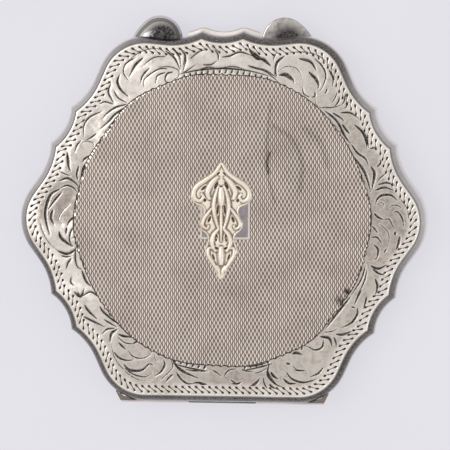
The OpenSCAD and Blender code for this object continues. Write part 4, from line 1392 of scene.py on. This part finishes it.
def pile(name, bright, dull):
    """Velour: short soft fibres that lie in patches."""
    f = Finish(name, Roughness=1, Sheen_Weight=0.6, Sheen_Roughness=0.35, Specular_IOR_Level=0.1)
    brushed = f.ramp(f.noise(0.12, 3), 0.35, 0.65)
    fibre = f.noise(7, 3, 0.7)
    f.tint(f.math("MULTIPLY", brushed, f.ramp(fibre, 0.2, 0.8, 0.5, 1)), bright, dull)
    return f.bump(fibre, 0.12)


velour = pile("velour", (0.90, 0.74, 0.66), (0.80, 0.61, 0.53)).material
satin = woven("satin", (0.86, 0.62, 0.58), (0.76, 0.50, 0.47), 9, 0.3, rough=0.45, deep=0.01).material
gauze = woven("gauze", (0.88, 0.83, 0.74), (0.72, 0.63, 0.52), 3.2, 0.2, deep=0.04).material

powder_finish = Finish("pressed_powder", Roughness=0.95)
powder_finish.tint(powder_finish.ramp(powder_finish.noise(0.8, 5), 0.35, 0.7),
                   (0.86, 0.62, 0.50), (0.78, 0.53, 0.42))
powder_finish.bump(powder_finish.noise(9, 4), 0.05)
card_finish = Finish("grey_card", Roughness=0.9)
card_finish.tint(card_finish.noise(1.5, 5, 0.7, stretch=(1, 0.3, 1)),
                 (0.34, 0.31, 0.27), (0.24, 0.21, 0.18))
card_finish.bump(card_finish.noise(4, 4), 0.02)
glass_finish = Finish("mirror_silvering", Metallic=1, Coat_Weight=0.5)
glass_finish.tint(glass_finish.ramp(glass_finish.noise(0.05, 5, 0.6), 0.5, 0.75),
                  (0.86, 0.88, 0.88), (0.74, 0.76, 0.75))
glass_finish.set("Roughness", glass_finish.ramp(glass_finish.noise(0.6, 6, 0.7), 0.5, 0.8, 0.015, 0.07))
steel = worn_metal("steel_wire", (0.56, 0.56, 0.58), (0.36, 0.34, 0.33), 0.25).material

mirror_surround()
inner_door()
under_plate()
pan()
ribbon(puff())
gauze_disc()

# The CAD nodes whose shape is already right: only their finish is added.
KEPT = {
    silver: ["base_collar", "base_hinge_bearer", "lid_hinge_bearer", "snap_lug"],
    hinge_dark: ["base_hinge_wings", "lid_hinge_wings"],
    gilt: ["deck_plate", "sifter_ring", "mirror_seat_ring", "door_hinge_knuckle_left",
           "door_hinge_knuckle_right", "door_knuckle", "door_tab"],
    steel: ["hinge_pin", "door_hinge_pin", "door_spring"],
    pale_gold: ["ornament_rivets"],
    powder_finish.material: ["powder_cake"],
    card_finish.material: ["mirror_card"],
    glass_finish.material: ["mirror_glass"],
}
for material, nodes in KEPT.items():
    for node in nodes:
        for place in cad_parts[node].material_slots:
            place.material = material


# ---- Floor, light and camera ----------------------------------------------------------------

def metres(*mm):
    return Vector(mm) * MM


def stage():
    half_w = 6000
    floor = mesh_object("floor", [(-half_w, -half_w, 0), (half_w, -half_w, 0), (half_w, half_w, 0),
                                  (-half_w, half_w, 0)], [(0, 1, 2, 3)])
    f = Finish("floor", Roughness=0.9, Specular_IOR_Level=0.1, Emission_Strength=0.72,
               Emission_Color=colour(0.82, 0.81, 0.87))
    f.tint(f.ramp(f.noise(0.02, 2), 0.4, 0.6), (0.20, 0.199, 0.213), (0.21, 0.209, 0.224))
    floor.data.materials.append(f.material)


def aim(thing, place, target, roll=0):
    """Points a light or the camera, with -Y towards the top of its view."""
    back = (place - target).normalized()
    up = Vector((math.sin(math.radians(roll)), -math.cos(math.radians(roll)), 0))
    right = up.cross(back).normalized()
    up = back.cross(right)
    thing.matrix_world = Matrix.Translation(place) @ Matrix((right, up, back)).transposed().to_4x4()


def softbox(name, place, target, size, watts, tint):
    light = bpy.data.lights.new(name, "AREA")
    light.shape = "SQUARE"
    light.size = size * MM
    light.energy = watts
    light.color = tint
    thing = bpy.data.objects.new(name, light)
    bpy.context.scene.collection.objects.link(thing)
    aim(thing, metres(*place), metres(*target))


# How bright the sky is by the sine of its height: grey walls, and a pale ring of reflectors round
# a slightly greyer ceiling.
SKY = [(0.05, 0.26), (0.36, 0.40), (0.44, 0.30), (0.50, 0.32), (0.60, 1.0), (0.80, 1.0), (0.93, 0.92),
       (1.0, 0.91)]


def sky():
    """A pale ceiling over darker walls, which gives polished silver something to reflect."""
    world = bpy.data.worlds.new("studio")
    bpy.context.scene.world = world
    world.use_nodes = True
    tree = world.node_tree
    background = tree.nodes["Background"]
    place = tree.nodes.new("ShaderNodeTexCoord")
    split = tree.nodes.new("ShaderNodeSeparateXYZ")
    ramp = tree.nodes.new("ShaderNodeValToRGB")
    tree.links.new(place.outputs["Generated"], split.inputs[0])
    tree.links.new(split.outputs["Z"], ramp.inputs["Fac"])
    tree.links.new(ramp.outputs["Color"], background.inputs["Color"])
    stops = ramp.color_ramp.elements
    for _ in range(len(SKY) - len(stops)):
        stops.new(0.5)
    for stop, (height, light) in zip(stops, SKY):
        stop.position = height
        stop.color = colour(light, 0.97 * light, 0.95 * light)
    background.inputs["Strength"].default_value = 1


CAMERA_DISTANCE = 400
CAMERA_TILT = (4.6, 3.9)                # towards -X and towards -Y
CAMERA_ROLL = 0.23
FRAME_W = 88.35                        # width of the picture at the seam
AIM_AT = (-0.36, 1.1, BASE_RIM)


def camera():
    data = bpy.data.cameras.new("camera")
    data.lens = data.sensor_width * CAMERA_DISTANCE / FRAME_W
    data.clip_start = 0.01
    thing = bpy.data.objects.new("camera", data)
    bpy.context.scene.collection.objects.link(thing)
    away = Vector((-math.tan(math.radians(CAMERA_TILT[0])), -math.tan(math.radians(CAMERA_TILT[1])), 1))
    target = metres(*AIM_AT)
    aim(thing, target + away.normalized() * CAMERA_DISTANCE * MM, target, CAMERA_ROLL)
    bpy.context.scene.camera = thing


stage()
sky()
softbox("key", (340, -120, 660), (0, 0, 0), 330, 0.75, (1, 0.985, 0.96))
softbox("fill", (-480, 120, 520), (0, 0, 0), 300, 0.25, (0.95, 0.97, 1))
camera()
bpy.context.scene.view_settings.view_transform = "Standard"
